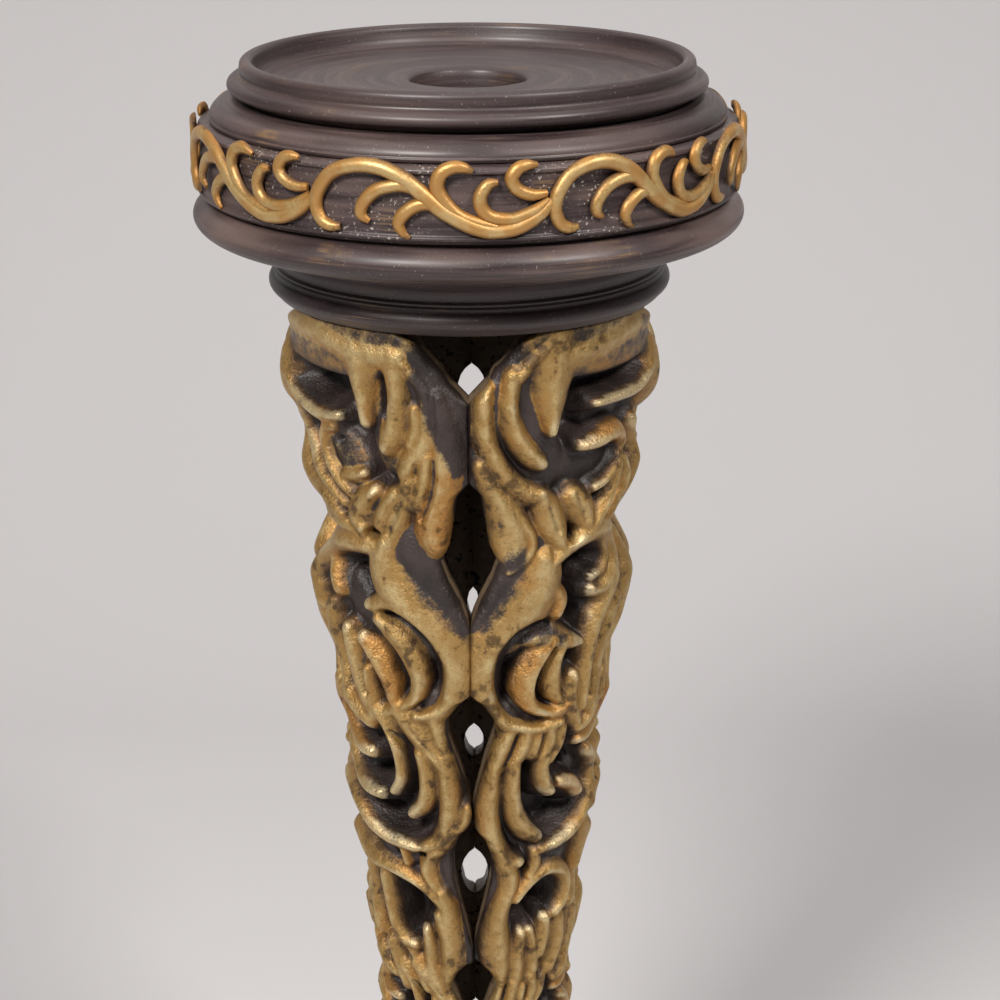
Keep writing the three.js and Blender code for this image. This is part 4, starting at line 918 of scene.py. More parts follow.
leftSecond = [
    stroke((30, 44.6, 4.4), (38, 44.8, 5), (48, 45.2, 5.4), (58, 46.6, 6), (68, 49.6, 6.8), (76, 53, 7),
        (80, 58, 6.4), (76, 64, 4.4), lean=-0.3),
    stroke((66, 50, 3.6), (64, 54, 4.4), (60, 58, 3.6), drop=1.6, warm=0.7),
    dark((24, 44, 10), (16, 48, 13), (9, 54, 11), (4, 60, 8), drop=0.6, rise=0.45, gilt=0),
    dark((58, 58, 8), (52, 61, 9), (46, 62, 6), drop=3.4, rise=0.5),
    stroke((29, 43.6, 5), (30.6, 47.5, 8.8), (28.4, 51.3, 11.4), (23.6, 54.6, 12.4), (16.6, 58, 13),
        (10, 62, 12.4), (5.6, 66, 10.4), (4.2, 70, 9.4), (5, 74, 8.4), (8, 77.6, 6.6), (13.6, 79.8, 4.8),
        (21, 80.6, 3.4), drop=0, lean=0.45),
    stain((21, 46, 9), (15, 51.6, 10), (8, 57, 8), (3, 61, 5), gilt=0.9),
    stroke((28.5, 55.8, 6.4), (34, 57.4, 5.2), (39.4, 57.9, 2.8), drop=0.5),
    stroke((35.4, 60.6, 3.4), (31, 62.4, 6.2), (26, 65.2, 7.4), (22, 69, 6.8), (20.2, 72.6, 5.2),
        (21.6, 76.2, 3.8), (26.6, 78.4, 2.8), drop=0.2, gilt=0.85, lean=-0.3),
    stroke((43.4, 65.4, 3), (39.4, 67.6, 5.4), (35, 70.8, 6), (32, 74, 5.4), (30.6, 77, 4.2),
        (28.4, 79.2, 2.6), drop=0.1, warm=0.9, lean=0.3),
    cut((33, 58.8, 1.6), (26, 59.6, 2.6), (19, 62.4, 3), (14.4, 66.2, 3.2), (12.6, 70, 3.4), (13, 73.6, 3.2),
        (15.4, 76.6, 2.6), (20, 78.4, 1.8), drop=2.2),
    cut((37, 63.4, 1.2), (31, 66.6, 2), (27.4, 70.2, 2.6), (25.8, 73.6, 2.4), (27, 76.8, 1.6), drop=1.8),
    stroke((54, 65.6, 4.6), (53, 69.6, 7.6), (50.4, 74.6, 8.4), (46.4, 79.2, 7.2), (41.8, 82.6, 4.6),
        drop=0.4, lean=-0.4),
    stroke((43, 72.6, 3), (42.6, 77, 4.8), (40.8, 81, 3.8), drop=0.5, warm=0.4),
    cut((47, 68.4, 1), (46, 73, 1.4), (44, 78, 1), drop=1.0),
    stroke((64, 62, 5), (66, 68, 8.6), (63, 75, 8.6), (56, 82, 6), lean=-0.3),
    cut((58.6, 66, 1), (58, 72, 1.6), (54, 79, 1.2), drop=1.2),
    stroke((78, 60, 6), (80, 68, 9), (76, 76, 8.4), (67, 82.6, 5.6), lean=-0.3),
    cut((72.6, 63, 1.2), (73, 71, 1.6), (68.4, 79, 1.2), drop=1.2),
    stroke((90, 58, 6), (90, 68, 8.6), (88, 78, 7.6)),
    cut((88, 62, 1), (87.6, 70, 1.2), (85, 78, 1), drop=0.7),
    stroke((26, 79.4, 4.4), (34, 81, 4.6), (42, 82.6, 3.8), drop=0.8),
]

leftThird = [
    dark((14, 80, 9), (8, 86, 9), (4, 92, 6), drop=1.4, rise=0.5),
    stroke((14, 80.2, 5), (12, 84.4, 6), (9.6, 88.8, 5), drop=0.3, gilt=0.6, lean=0.3),
    stain((9, 80, 5), (6, 86, 5), gilt=0.5),
    stroke((29.4, 79.4, 6), (23, 82.6, 7.6), (17.4, 86.6, 7), (12.4, 90.4, 4.8), drop=0.1, lean=0.3),
    stroke((39, 81, 4.6), (34.6, 83.6, 3.8), (31.4, 88, 3), (29.8, 92.4, 3), (30.4, 96, 2.8),
        (33.8, 98.8, 2.2), drop=0.2, lean=0.3),
    cut((33, 85, 1.2), (27, 88, 1.8), (22, 90, 1.8), drop=1.8),
    cut((25, 82.6, 0.8), (19, 86.2, 1), (15, 89, 0.8), drop=0.5),
    stroke((60, 80, 5.4), (51, 82.4, 5.8), (44, 84, 4.2), drop=0),
    stroke((76, 80, 5), (70, 85, 5.8), (60, 90, 4.4), (52, 91.2, 3.8), (45, 91.6, 2.6), drop=0.4, warm=0.8,
        lean=0.3),
    stroke((78, 94, 5), (66, 99, 4.6), (53, 100.8, 4), (42.6, 101, 2.6), drop=0.6, gilt=0.8),
    stroke((20.6, 88.6, 2.8), (18.6, 93, 4), (18.4, 97.4, 4.2), (20.8, 101, 3.6), (25.4, 103.2, 2.4), drop=0,
        lean=0.4),
    stroke((11.6, 89, 3.2), (10, 93.4, 4.4), (9.2, 98, 4.8), (9.2, 103, 5.2), (10.6, 107, 5.8),
        (14, 109.8, 5), (19.4, 110.8, 3.6), drop=0, lean=0.4),
    stroke((2, 101, 2.6), (3.4, 104, 2.8), (6, 106, 2.4), drop=0.8, gilt=0.5),
    stroke((88, 104, 4.6), (72, 105, 4.4), (59, 107.2, 3.8), (50, 109.2, 3.4), (41, 110.6, 3.2), (33, 111, 3),
        (25, 111.2, 2.8), (20, 110.8, 2.4), drop=0.1),
    stroke((33, 112, 2.4), (31, 115.6, 2.4), drop=0.9),
    stroke((88, 92, 5), (82, 96, 4.6)),
    dark((12, 111, 7), (10, 116, 8), (6, 122, 7), drop=1.3, rise=0.5),
    dark((44, 113.6, 4), (34, 114.6, 4), (24, 114, 4), drop=1.6, rise=0.5),
    stroke((15, 111.6, 3.4), (19.4, 113.8, 4.2), (20.4, 117, 4.2), (17.4, 120.4, 3.4), drop=0.3, lean=0.3),
]

leftFourth = [
    stroke((72, 114, 6), (62, 116.4, 6.4), (52, 117.4, 5), (41, 117.6, 3.6), (32, 118.4, 3), (24, 120, 2.8),
        (17.6, 122.6, 3), (13, 125, 3.2), drop=0.1, lean=0.3),
    stroke((14.6, 121.6, 3), (12.2, 126, 4.6), (11, 131, 6), (10.2, 136, 6.6), (10.8, 140, 5.2),
        (12.4, 143.4, 3), drop=0, lean=0.4),
    stroke((16, 126.8, 3), (14.4, 129.4, 4.6), (13, 132.4, 3.6), drop=0),
    stroke((22.6, 131, 2.6), (22, 135, 3.8), (21.6, 139.4, 4.6), (21, 145, 4.4), drop=0.3),
    stroke((46, 120.6, 4), (44.8, 126, 4.4), (42.6, 132, 4.2), (37, 135.4, 3.8), (30.4, 136, 3), drop=0.4,
        lean=-0.3),
    stroke((62, 121, 5), (60, 128, 5.8), (55, 135, 5), drop=0.3),
    stroke((33, 138, 4), (29, 142, 5), (26, 146.4, 4), drop=0.5),
    stroke((46, 137, 5), (42, 141.8, 5.6), (38, 146.4, 4), drop=0.3),
    stroke((84, 122, 6), (80, 129, 7), (72, 136.4, 6), (62, 142, 4.8), (54, 145.6, 4), lean=-0.3),
    cut((80, 124, 1), (76, 131, 1.3), (68, 137.6, 1), drop=0.8),
    stroke((88, 134, 6), (84.6, 140, 6.6), (76, 145.6, 4.8)),
    dark((3, 116, 5), (3, 126, 5), (2.6, 138, 5), drop=1.2, rise=0.5),
]

leftDesign = {
    "tiers": [leftFirst, leftSecond, leftThird, leftFourth],
    "hollows": [
        [(57, 11.6, 18, 5.4, 5.4), (32, 26, 9, 5.8, 3.4), (63, 26, 7, 4, 2.6)],
        [(50, 52.4, 15, 5, 5), (48, 62, 8, 3.6, 2.6), (39, 70.6, 4.4, 3, 1.2)],
        [(37, 104, 18, 5, 4.4), (42, 94.6, 14, 6.4, 4.4), (25, 96, 5, 7, 3.2), (14.4, 98, 2.4, 8, 1.6)],
        [(29, 127, 14, 7, 5), (74, 130, 5, 4, 2)],
    ],
    "pits": [
        [(35.2, 42, 2.4, 1.1, 4), (47.8, 24.3, 1.4, 0.7, 1.6), (27.5, 13.5, 1.4, 5.5, 2)],
        [],
        [(36, 114, 2.4, 1.4, 2), (22.6, 112.8, 2.4, 1, 1.6)],
        [(35, 139, 3, 1.2, 1.6)],
    ],
}


# Carving right of the front seam, tier by tier
rightFirst = [
    stroke((89, 3, 13), (45, 3, 13), (24, 3, 11), drop=1.0, rise=0.3, gilt=0.2),
    stroke((89, 3, 9), (70, 2.6, 8.6), (60, 2.8, 8), (50, 3.6, 7.6), (41, 4.6, 8), (33, 5.2, 8.6)),
    dark((22, 3, 10), (16, 7, 11), (9, 12, 11), (4, 18, 9), drop=1.0, rise=0.5),
    dark((24, 10, 12), (21, 18, 11), (26, 28, 10), drop=1.8, rise=0.5),
    stroke((28.4, 2, 8), (27.4, 7, 10.4), (27, 11, 9), (27, 15, 6.6), (27, 18.4, 4), (27, 20.2, 2.2), drop=0),
    stroke((28, 1, 3), (20, 5, 3.2), (15.4, 8.4, 3), drop=0.2),
    stroke((13, 8, 3.6), (12.4, 12.6, 4.2), (13, 17, 4.4), (16, 21.5, 4.6), (20.5, 25, 4.4),
        (23.8, 26.6, 2.8), drop=0, lean=0.35),
    stroke((4.6, 10.6, 3.6), (4.5, 18, 4.6), (6, 22.5, 4.8), (9.5, 27, 5), (14.5, 30.7, 5), (20.5, 32.9, 4.8),
        (24, 33, 3.2), drop=0, lean=0.35),
    dark((2, 24, 6), (3, 32, 7), (7, 40, 7), (9, 44, 6), drop=1.6, rise=0.5),
    stroke((3.4, 26, 3), (7.6, 32, 5.4), (12, 37.6, 8.6), (13.6, 42.4, 11), (13.6, 45.4, 9.4), drop=0,
        gilt=0.7, lean=0.4),
    stain((5, 28, 6), (8, 34, 5), (10, 40, 4), gilt=0.4),
    stroke((8, 31, 1.8), (14.6, 35.4, 2), (19.4, 39.4, 2.2), (22, 42.6, 2.2), (20.4, 46, 2.2), (14, 48.4, 2),
        drop=0.6),
    stroke((44, 16.4, 1.4), (55, 16.4, 2.2), (66, 16.2, 2.6), (78, 13.4, 2.8), drop=0.4, lean=0.4),
    stroke((39.6, 24.4, 2.2), (46, 24.3, 3.4), (52, 23.8, 4.4), (57, 23.8, 4.8), (61, 25, 4), (64, 27, 3),
        drop=0.3, warm=0.9, lean=-0.4),
    stroke((63, 26.4, 2.2), (60, 30, 2.2), (53, 33, 2.2), (46, 34, 1.8), drop=0.5),
    stroke((25, 34, 5), (28, 38, 7.8), (31.5, 42, 6.4), (34, 45, 3), drop=0.3),
    cut((27, 35.5, 1.3), (31, 41, 1.3), drop=0.7),
    stroke((37, 35, 6), (42, 37.6, 7.4), (44.6, 41, 5.6), drop=0.3),
    cut((38, 34.5, 1.3), (43, 40, 1.3), drop=0.8),
    stroke((60, 30.6, 2.6), (57, 34.4, 3.4), (52.6, 38.6, 3.8), (46, 42.6, 3.4), drop=0.1),
    stroke((66, 31, 3.4), (68, 37, 5), (60, 42, 4.4), drop=0.4),
    stroke((76, 25, 4), (82, 30, 5.4), (80, 37, 5.4), (72, 42.4, 5), drop=0.3),
    stroke((88, 4, 9), (83, 9, 9), (81, 14, 9), (83, 20, 8), drop=0),
    stroke((89, 30, 4), (88, 37, 5), (84, 43, 5)),
    dark((58, 29, 10), (44, 29.5, 11), (32, 29, 9), drop=2.8, rise=0.5),
]

rightSecond = [
    stroke((30.4, 47.6, 3), (35, 45.6, 4.6), (42, 44, 5.4), (52, 43.4, 6), (61, 45.6, 6.8), (66.4, 50, 7),
        (63, 54.4, 6), (55, 56.6, 4.4), (49, 56.2, 2.8), drop=0.1),
    stroke((56, 47, 1.8), (59.4, 50, 2.4), (56, 53, 2.2), (49, 53.6, 1.8), drop=1.0),
    stroke((77, 48, 6), (80, 55, 7.4), (75, 62, 6), drop=0.2),
    dark((22, 45, 9), (14, 49, 12), (8, 55, 10), (3.6, 61, 7), drop=0.7, rise=0.45, gilt=0),
    stroke((26, 46.8, 6.4), (25.4, 50, 10.6), (22, 53.8, 13.6), (15.4, 58, 13.2), (9, 62.4, 11.6),
        (5, 66.4, 10), (3.6, 70.4, 9), (3.8, 74.6, 8.2), (6.8, 78.8, 6.4), (12.4, 81.8, 4.8),
        (20.6, 83.4, 3.6), (29, 84, 2.8), (36.8, 83.4, 2), drop=0, lean=0.4),
    stain((17, 47, 8), (11, 53, 9), (5, 59, 7), gilt=0.9),
    stain((16, 61.6, 4), (10, 66.6, 4.4), (8.4, 71, 4.4), (9.4, 76, 4), gilt=0.45),
    stroke((30.6, 53.4, 3.8), (34.8, 56.6, 5.2), (33.6, 59.2, 3.8), drop=1.0, warm=1),
    stroke((17, 63, 4), (22, 62.6, 6), (28, 63.4, 7), (34, 64.8, 6), (40, 66, 3.8), (44.6, 66.7, 1.8),
        drop=0.5, gilt=0.55, lean=-0.4),
    stain((22, 62.8, 6), (29, 63.6, 6), (35, 65, 4), gilt=0.5),
    stroke((31, 64.6, 2.2), (26.4, 67.4, 5), (22.2, 71.2, 6.4), (20.8, 75.2, 6.4), (23, 78.8, 5),
        (28.6, 80.8, 3.6), (35, 81.2, 3.2), (40.8, 80.2, 2.8), drop=0.1, warm=0.8, lean=0.5),
    stroke((36, 66.6, 2.6), (33, 69.8, 5), (32.2, 73.6, 6), (33.4, 77, 4.8), (36.4, 79, 2.4), drop=0.5,
        lean=0.3),
    cut((29.4, 61.2, 2), (23, 61.4, 2.8), (17, 63.4, 3.4), (13.2, 67, 3.8), (11.8, 71, 3.8), (12.4, 75, 3.4),
        (15.8, 78.8, 3), (22.6, 81.2, 2.2), (30, 82.2, 1.6), drop=2.4),
    cut((32, 67, 1.4), (28, 70.6, 2), (26.4, 74.4, 2.2), (28.6, 77.8, 1.8), (33, 79.2, 1.2), drop=1.6),
    stroke((65, 55.4, 4.4), (60.6, 58.6, 6.6), (55.4, 63, 6.8), (52, 67.6, 6), (50.4, 72.4, 5.4),
        (49.4, 77, 4.8), (48.6, 81.4, 3.6), drop=0.1, lean=-0.4),
    stroke((67, 61, 5), (63.4, 67, 7.2), (61, 72.6, 7.4), (58.4, 78.6, 6), (54.4, 83.6, 4.4), drop=0.2,
        lean=-0.3),
    cut((62, 62, 1), (57.6, 68, 1.3), (55.6, 74, 1.3), (53, 80, 1), drop=0.9),
    stroke((42.6, 74.4, 3.8), (41.6, 78.4, 6.2), (43.6, 82, 5.6), (45.8, 84.6, 3.6), drop=0.3),
    stroke((79, 61, 6), (75.4, 68.4, 8.6), (71, 75.6, 7.8), (64.8, 82.4, 5.6), lean=-0.3),
    cut((75, 63, 1), (69.6, 70, 1.3), (65, 77, 1), drop=0.9),
    stroke((91, 60, 6), (88, 69, 8.4), (83.4, 77.6, 7.4), (77, 83.6, 5.4)),
    cut((86, 64, 1), (82.4, 71, 1.2), (77, 79, 1), drop=0.8),
]

rightThird = [
    dark((14, 82, 8), (9, 88, 8), (5, 94, 6), drop=1.4, rise=0.5),
    dark((20, 84, 4), (30, 84.6, 4), (40, 84, 4), drop=1.4, rise=0.5),
    stroke((15, 84.2, 4.2), (12.4, 87.6, 6), (9.8, 91.6, 4.6), drop=0.3, gilt=0.9),
    stroke((22.4, 84.2, 4.2), (21, 87.6, 5.6), (17, 91, 3.6), drop=0.1),
    stroke((27.2, 85.8, 3.2), (25.6, 89, 4.6), drop=0.3),
    stroke((31.6, 83.8, 3.8), (32.6, 86.8, 5.2), (29.6, 90.4, 3.2), drop=0.1),
    stroke((38, 85, 3.2), (36.8, 88.2, 3.6), (33, 91.4, 2.6), drop=0.3),
    cut((18.6, 84, 0.8), (16.6, 88, 1.2), (13.6, 91.6, 1), drop=0.9),
    cut((29.4, 85, 0.7), (28.6, 88, 1), (26, 91, 0.8), drop=0.8),
    stroke((58, 82, 4.4), (52, 85.4, 3.8), (46, 86.2, 2.6), drop=0.1),
    stroke((76, 83, 5), (64, 87.2, 4.6), (54, 88.8, 3.8), (47.2, 89, 2.6), drop=0.3, warm=1, lean=0.3),
    stroke((31.4, 90, 2.4), (29.6, 93, 3.8), (31, 96.6, 4), (34.2, 99, 2.6), drop=0.1, lean=0.3),
    stroke((18, 91.4, 2.4), (16.8, 95, 3.8), (17, 99.2, 4.2), (19, 103.6, 4.6), (23.2, 107.2, 4.6),
        (28.8, 109.2, 3), drop=0, lean=0.35),
    stroke((8.8, 91.6, 3.6), (7.2, 98, 4.8), (6.8, 103, 5.2), (8, 107.8, 5.6), (11.2, 111.6, 5),
        (15.4, 113.8, 4), (21, 114.8, 2.6), drop=0, lean=0.4),
    stroke((39.6, 97.8, 2.4), (47, 99.2, 3.6), (53, 102, 3.6), drop=0.6, warm=1),
    stroke((58, 93.6, 3.4), (66, 96.4, 4.8), (70, 101.2, 5.2), (64, 106.4, 5.2), (56, 109.2, 4.2),
        (47, 111.3, 3.6), (38, 112.2, 3), (31, 112.4, 2.4), drop=0, lean=-0.3),
    stroke((90, 87, 5.4), (85, 95, 6.4), (84, 103, 6.4), (78, 110, 5)),
    cut((80, 90, 1), (78.4, 98, 1.2), (77, 106, 1), drop=0.8),
    stroke((28.4, 112.8, 2.4), (29.8, 115.6, 3.2), (27, 118.4, 2.4), drop=0.6),
    stroke((62, 110.6, 4), (64, 116, 5.6), (60, 121.4, 5.2), drop=0.2),
]

rightFourth = [
    dark((10, 113.6, 8), (7, 119, 8), (4.4, 126, 6), drop=1.3, rise=0.5),
    dark((36, 114.4, 5), (45, 115.6, 5), drop=1.4, rise=0.5),
    stroke((13.4, 114.6, 3.8), (16.6, 117.4, 5.2), (17, 120.6, 4.8), (14, 124.6, 4.6), (11.6, 129, 5.6),
        (11.4, 134, 7.2), (12.6, 138.6, 7), (14, 142.6, 4), drop=0, lean=0.4),
    stain((8, 115, 5), (10, 121, 4), (7, 128, 4), gilt=0.6),
    stroke((20.6, 123.4, 2), (25, 120.6, 2.6), (31, 118.4, 3), (38, 117.8, 3.4), (45, 119.4, 3.8),
        (49.4, 123, 4), (48, 127.2, 3.8), (43, 129.6, 2.6), drop=0, lean=-0.3),
    stroke((72, 114, 5.6), (74, 121, 6.6), (66, 127.4, 6), (56, 129.4, 4.4), lean=-0.3),
    stroke((37.6, 130.4, 3.4), (37.4, 134.4, 5.8), (35.4, 138.4, 4), drop=0.3),
    stroke((24, 132.4, 2.8), (23, 137, 4), (23.4, 143.2, 4.4), drop=0.3),
    stroke((28.6, 131.8, 2), (31, 136, 3.2), (32.6, 142.2, 4), drop=0.5),
    stroke((47, 131.6, 4.6), (48, 137.2, 5.8), (43, 143.2, 5), drop=0.3),
    stroke((62, 130, 5.4), (62, 136.4, 6.6), (56, 143.4, 5.4)),
    cut((59, 132, 1), (58.6, 137, 1.2), (54, 142, 1), drop=0.8),
    stroke((86, 121, 6), (84, 130, 7.2), (78, 138.4, 7), (70, 144.6, 5.4)),
    cut((80, 125, 1), (77, 132, 1.3), (71, 139.6, 1), drop=0.8),
]

rightDesign = {
    "tiers": [rightFirst, rightSecond, rightThird, rightFourth],
    "hollows": [
        [(52, 10.4, 21, 5.2, 5.4), (36, 19, 9, 6, 4), (46, 30, 14, 4.4, 3)],
        [(46, 50.6, 13, 5, 5), (46, 59, 11, 5, 4.4), (40, 71, 5.4, 3.6, 2.4), (27.4, 73, 3, 4, 1.4)],
        [(38, 104, 16, 6.4, 4.6), (40, 92.6, 8, 6.4, 4), (24, 98, 5, 8, 3.2), (54, 91.6, 8, 2.6, 1.6),
         (12.4, 99, 2.4, 8, 1.6)],
        [(30, 126, 13, 6.6, 5), (32.6, 138.4, 4.4, 2, 1.4)],
    ],
    "pits": [
        [(37.8, 42.6, 2.4, 1.5, 4), (52.4, 25.4, 1.2, 0.6, 1.4)],
        [],
        [(23.6, 116.2, 2.6, 1.3, 1.8)],
        [],
    ],
}


# Tiers 5 to 7 are under the edge of the picture: they take the third and fourth tier's carving,
# drawn smaller
copiedTiers = {4: 2, 5: 3, 6: 2}


def tierTop(tier):
    return sum(shaft["tierHeights"][:tier])


def completed(design):
    tiers, hollows, pits = list(design["tiers"]), list(design["hollows"]), list(design["pits"])
    for tier, source in copiedTiers.items():
        scale = shaft["tierHeights"][tier] / shaft["tierHeights"][source]

        def lowered(depth):
            return tierTop(tier) + (depth - tierTop(source)) * scale

        tiers.append([
            {**one, "path": [(s, lowered(depth), width * scale) for s, depth, width in one["path"]],
             "drop": one["drop"] * scale}
            for one in design["tiers"][source]])
        for kind, kept in (("hollows", hollows), ("pits", pits)):
            kept.append([
                (s, lowered(depth), halfAngle, halfHeight * scale, deep * scale)
                for s, depth, halfAngle, halfHeight, deep in design[kind][source]])
    return [[one for tier in part for one in tier] for part in (tiers, hollows, pits)]


def table(points, at):
    depths, values = zip(*points)
    return np.interp(at, depths, values)


# Smooth line through a stroke's points
def smoothPath(path):
    points = np.array(path, float)
    padded = np.vstack([2 * points[0] - points[1], points, 2 * points[-1] - points[-2]])
    made = []
    for i in range(len(points) - 1):
        a, b, c, d = padded[i:i + 4]
        for k in range(carving["lineSteps"]):
            t = k / carving["lineSteps"]
            made.append(0.5 * (2 * b + (c - a) * t + (2 * a - 5 * b + 4 * c - d) * t * t
                               + (3 * b - a - 3 * c + d) * t ** 3))
    return np.array(made + [points[-1]])


def softly(values, passes):
    for _ in range(passes):
        padded = np.pad(values, 1, mode="edge")
        values = (padded[:-2, 1:-1] + padded[2:, 1:-1] + padded[1:-1, :-2] + padded[1:-1, 2:]
                  + 4 * padded[1:-1, 1:-1]) / 8
    return values


def smoothShare(value, low, high):
    t = np.clip((value - low) / (high - low), 0, 1)
    return t * t * (3 - 2 * t)


# What is carved is laid on in layers. Soft edges are given in half widths from a stroke's middle line
carving = {
    "lineSteps": 6,
    "hollowEdge": (0.6, 1.15),
    "pitEdge": (0.7, 1.15),
    "stainEdge": (0.1, 1.5),
    "cutEdge": (0.3, 1.2),
    "cutBareEdge": (0.4, 1.1),
    "cutBare": 0.8,
    "bare": -0.3,
    "untouched": -0.25,
    "leanReach": 0.6,
    "tallPerHalfWidth": 1.2,
    "tall": (1.0, 3.8),
    "giltFrom": (-0.05, 0.3),
    "giltReach": 1.04,
    "sides": (45, 70),
    "frontPasses": 2,
    "sidePasses": 9,
    "outlinePasses": 40,
    "groundPasses": 6,
    "liftPasses": 60,
    "openSlot": 2,
    "ridge": (0.35, 1.3),
}


# For every point of a leg, how far it is from a stroke's line in half widths, the half width there,
# and where it lies across the stroke, from -1 to 1
def offLine(line, s, depth, perDegree):
    nearest, half, side = np.full(s.shape, 99.0), np.ones(s.shape), np.zeros(s.shape)
    for a, b in zip(line[:-1], line[1:]):
        ax, ay = (s - a[0]) * perDegree, depth - a[1]
        bx, by = (b[0] - a[0]) * perDegree, b[1] - a[1]
        long = np.sqrt(bx * bx + by * by) + 1e-6
        t = np.clip((ax * bx + ay * by) / long ** 2, 0, 1)
        width = np.maximum(a[2] + (b[2] - a[2]) * t, 0.4) / 2
        off = np.hypot(ax - t * bx, ay - t * by) / width
        closer = off < nearest
        nearest = np.where(closer, off, nearest)
        half = np.where(closer, width, half)
        side = np.where(closer, np.clip((by * ax - bx * ay) / long / width, -1, 1), side)
    return nearest, half, side


# A rounded stroke: it shows where it stands above what is there already
def layStroke(one, here, nearest, half, side):
    crest = carving["leanReach"] * one["lean"]
    shifted = np.where(side > crest, (side - crest) / (1 - crest), (crest - side) / (1 + crest))
    away = np.clip(np.hypot(shifted, np.sqrt(np.clip(nearest ** 2 - side ** 2, 0, None))), 0, 1)
    crown = 0.65 * (1 - away ** 2.2) ** 0.6 + 0.35 * (1 - away)
    tall = np.clip(half * carving["tallPerHalfWidth"], *carving["tall"]) * one["rise"]
    beside = (nearest - 1) * half
    made = -one["drop"] - tall * (1 - crown) - shaft["wallSlope"] * np.clip(beside, 0, None)
    wins = (made > here["top"]) & (beside < shaft["wallReach"])
    cover = one["gilt"] * (smoothShare(crown, *carving["giltFrom"]) if one["gilt"] > 0 else 1)
    cover = np.where(nearest > carving["giltReach"], carving["bare"], cover)
    # crownShading keeps the crown: the gilt finish paints shade at a stroke's edge and a highlight on its
    # crown
    for name, values in (("top", made), ("gilt", cover), ("crownShading", crown), ("warm", one["warm"])):
        here[name][...] = np.where(wins, values, here[name])


def layStrokes(strokes, layers, s, depth, perDegree):
    for one in strokes:
        line = smoothPath(one["path"]) * [1, 1, shaft["swell"]]
        margin = line[:, 2].max() + shaft["wallReach"]
        first, last = line[:, 1].min() - margin, line[:, 1].max() + margin
        picked = np.flatnonzero((depth[:, 0] > first) & (depth[:, 0] < last))
        if not len(picked):
            continue
        part = slice(picked[0], picked[-1] + 1)
        here = {name: values[part] for name, values in layers.items()}
        nearest, half, side = offLine(line, s[part], depth[part], perDegree[part])
        if "stain" in one:
            here["gilt"] -= one["stain"] * (1 - smoothShare(nearest, *carving["stainEdge"]))
        elif "cut" in one:
            here["top"] -= one["drop"] * (1 - smoothShare(nearest, *carving["cutEdge"]))
            here["gilt"] -= carving["cutBare"] * (1 - smoothShare(nearest, *carving["cutBareEdge"]))
        else:
            layStroke(one, here, nearest, half, side)


# Radius, and the gold's cover, crests and crown shading (painted shade and highlight), over a leg's
# outside. The far edge is at a side seam, which is open like the front one.
def carve(design, length, slotName):
    rows = round(length / shaft["rowHeight"]) + 1
    depth = np.linspace(0, length, rows)[:, None]
    smooth = table(shaft["taper"], depth)
    fine = softly(table(shaft["outline"], depth), carving["outlinePasses"])
    slot, farSlot = [
        np.maximum(table(shaft[name], depth), shaft["touch"]) for name in (slotName, "frontSlot")]
    edge, farEdge = np.degrees(np.arcsin(slot / fine)), np.degrees(np.arcsin(farSlot / fine))
    across = np.linspace(0, 1, shaft["columns"])[None, :]
    span = 90 - edge - farEdge
    s = edge + span * across
    outline = smooth + (fine - smooth) * smoothShare(s, shaft["outlineFrom"], shaft["outlineFull"])
    perDegree = smooth * math.pi / 180
    strokes, hollows, pits = completed(design)

    def within(place, softEdge):
        centre, deep, halfAngle, halfHeight = place
        reach = np.hypot((s - centre) / halfAngle, (depth - deep) / halfHeight)
        return 1 - smoothShare(reach, *softEdge)

    middles = [tierTop(i) + h / 2 for i, h in enumerate(shaft["tierHeights"])]
    ground = np.interp(depth, middles, shaft["groundDepth"]) + 0 * s
    for *place, extra in hollows:
        ground = ground + extra * within(place, carving["hollowEdge"])
    top = -softly(ground, carving["groundPasses"])
    layers = {"top": top, "gilt": np.full_like(top, carving["untouched"]),
              "warm": np.zeros_like(top), "crownShading": np.zeros_like(top)}
    layStrokes(strokes, layers, s, depth, perDegree)
    top, gilt = layers["top"], layers["gilt"]
    for *place, extra in pits:
        share = within(place, carving["pitEdge"])
        top = top - extra * share
        gilt = gilt * (1 - share) + carving["bare"] * share

    steep = smoothShare(s, *carving["sides"])
    top = softly(top, carving["frontPasses"]) * (1 - steep) + softly(top, carving["sidePasses"]) * steep
    closed, opened = shaft["closedRound"], shaft["edgeRound"]
    for fromEdge, opening in ((across * span, slot), ((1 - across) * span, farSlot)):
        rounding = closed + (opened - closed) * smoothShare(opening, 0, carving["openSlot"])
        inward = np.clip(1 - fromEdge * perDegree / rounding, 0, 1)
        top = top - rounding * (1 - np.sqrt(1 - inward ** 2 * 0.98))

    # Rubbing takes the gold to what stands proud and leaves what lies low
    lifted = top - softly(top, carving["liftPasses"])
    # The crests: burnished, so less rough, and given a painted ivory highlight
    ridge = smoothShare(softly(lifted, 2), *carving["ridge"]) * (gilt > 0.5)
    gilt = gilt + 0.3 * smoothShare(lifted, 0, 1.2) - 0.6 * smoothShare(-lifted, 0.2, 1.4)
    core = shaft["coreTop"] + (shaft["coreFoot"] - shaft["coreTop"]) * depth / length
    return {
        "radius": np.maximum(outline + top, core + shaft["wall"]), "core": core, "slot": slot,
        "farSlot": farSlot, "depth": depth, "across": across, "rows": rows,
        "gilt": softly(np.clip(gilt, carving["bare"], 1.2), 3), "ridge": softly(ridge, 1),
        "warm": softly(layers["warm"], 5), "crownShading": softly(layers["crownShading"], 2)}


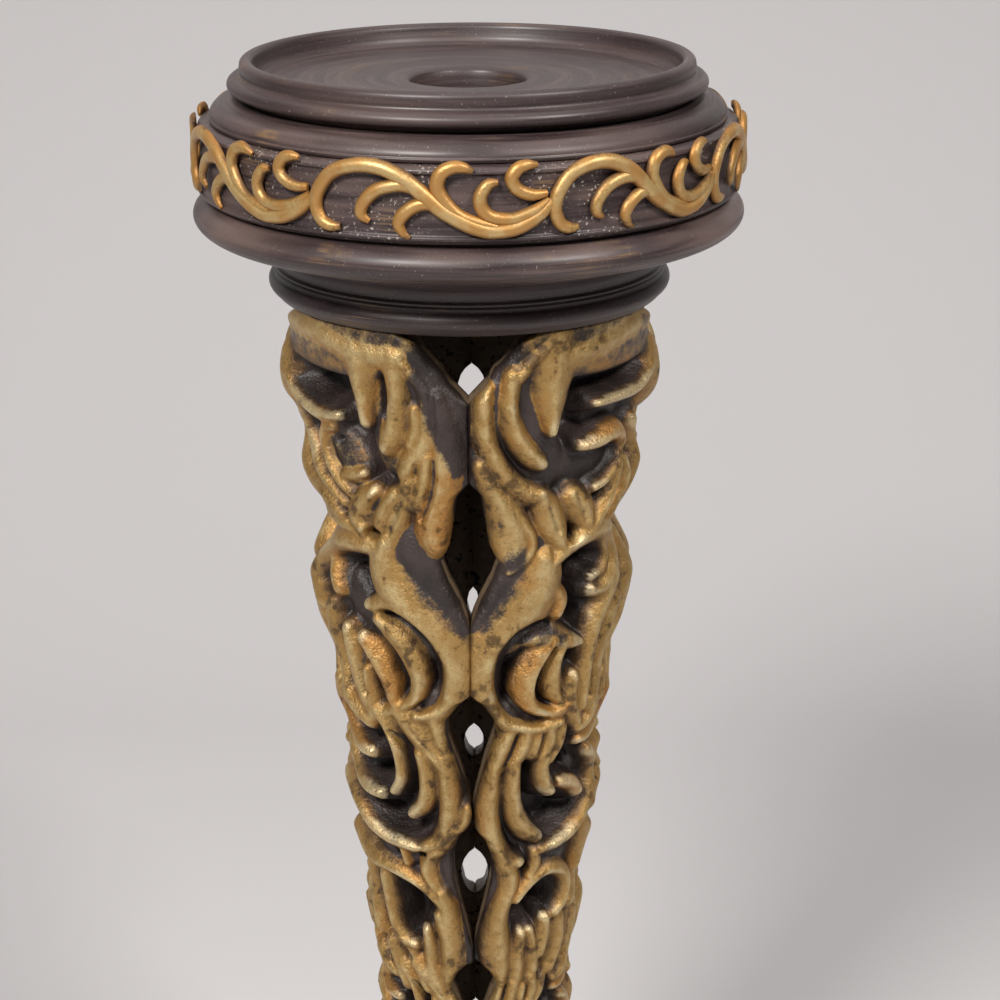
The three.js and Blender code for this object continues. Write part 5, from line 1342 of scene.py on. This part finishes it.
def legMesh(name, carved, top, seamAngle, hand):
    rows, columns = carved["rows"], shaft["columns"]
    core, radius = carved["core"], carved["radius"]

    # Angle from the leg's middle, on a face kept parallel to the seam
    def spread(share, r):
        slot = np.where(share < 0, carved["slot"], carved["farSlot"])
        return share * (45 - np.degrees(np.arcsin(np.minimum(slot / r, 0.7))))

    inShare = np.arange(1, shaft["sideColumns"] + 1)[None, :] / shaft["sideColumns"]
    inside = np.linspace(1, -1, shaft["insideColumns"] + 1)[None, 1:]
    sideDown = radius[:, -1:] + (core - radius[:, -1:]) * inShare
    sideUp = core + (radius[:, :1] - core) * inShare[:, :-1]
    rings = [
        (radius, spread(2 * carved["across"] - 1, radius)),
        (sideDown, spread(np.ones_like(sideDown), sideDown)),
        (core + 0 * inside, spread(inside + 0 * core, core)),
        (sideUp, spread(-np.ones_like(sideUp), sideUp)),
    ]
    r = np.hstack([ring[0] + 0 * ring[1] for ring in rings])
    around = np.hstack([ring[1] + 0 * ring[0] for ring in rings])
    angle = np.radians(seamAngle + hand * (45 + around) - 90)
    z = top - carved["depth"] + 0 * r
    verts = np.stack([r * np.cos(angle), r * np.sin(angle), z], axis=-1).reshape(-1, 3) * mm
    count = r.shape[1]
    first = np.arange(rows * count).reshape(rows, count)
    on = np.roll(first, -1, axis=1)
    quads = np.stack([first[:-1], first[1:], on[1:], on[:-1]], axis=-1).reshape(-1, 4)
    mesh = bpy.data.meshes.new(name)
    caps = [list(first[0]), list(first[-1][::-1])]
    mesh.from_pydata(verts.tolist(), [], quads.tolist() + caps)
    elsewhere = {"gilt": carving["bare"], "ridge": 0, "warm": 0, "crownShading": 0, "inner": 1}
    for label, value in elsewhere.items():
        values = np.full((rows, count), float(value))
        values[:, :columns] = carved.get(label, 0)
        mesh.attributes.new(label, "FLOAT", "POINT").data.foreach_set("value", values.ravel())
    cleaned(mesh, split=True)
    dressed(mesh, finishes["gilt"])
    return linkPiece(name, mesh)


# Each leg starts at the front seam (0) or the rear seam (180) and runs to one side
legs = {
    "leg_front_left": (leftDesign, "frontSlot", 0, -1),
    "leg_front_right": (rightDesign, "frontSlot", 0, 1),
    "leg_rear_right": (leftDesign, "rearSlot", 180, -1),
    "leg_rear_left": (rightDesign, "rearSlot", 180, 1),
}

for node, (design, slotName, seamAngle, hand) in legs.items():
    top = highest(node)
    carved = carve(design, top - lowest(node), slotName)
    piece = legMesh(node.replace("leg_", "carvedLeg_"), carved, top, seamAngle, hand)
    standFor(piece, "carved_gilt", node)
    print(node, "carved:", len(piece.data.polygons), "faces")


# The CAD pieces that stay: pad, dowels, bolt and screws, by the start of their names
kept = {
    "felt_pad": "felt",
    "top_dowel": "bare_wood",
    "base_bolt": "zinc_steel",
    "base_washer": "zinc_steel",
    "base_nut": "zinc_steel",
    "leg_screw": "zinc_steel",
    "neck_screw": "zinc_steel",
}

for name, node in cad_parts.items():
    for start, finish in kept.items():
        if name.startswith(start):
            node.data.materials.clear()
            node.data.materials.append(finishes[finish])
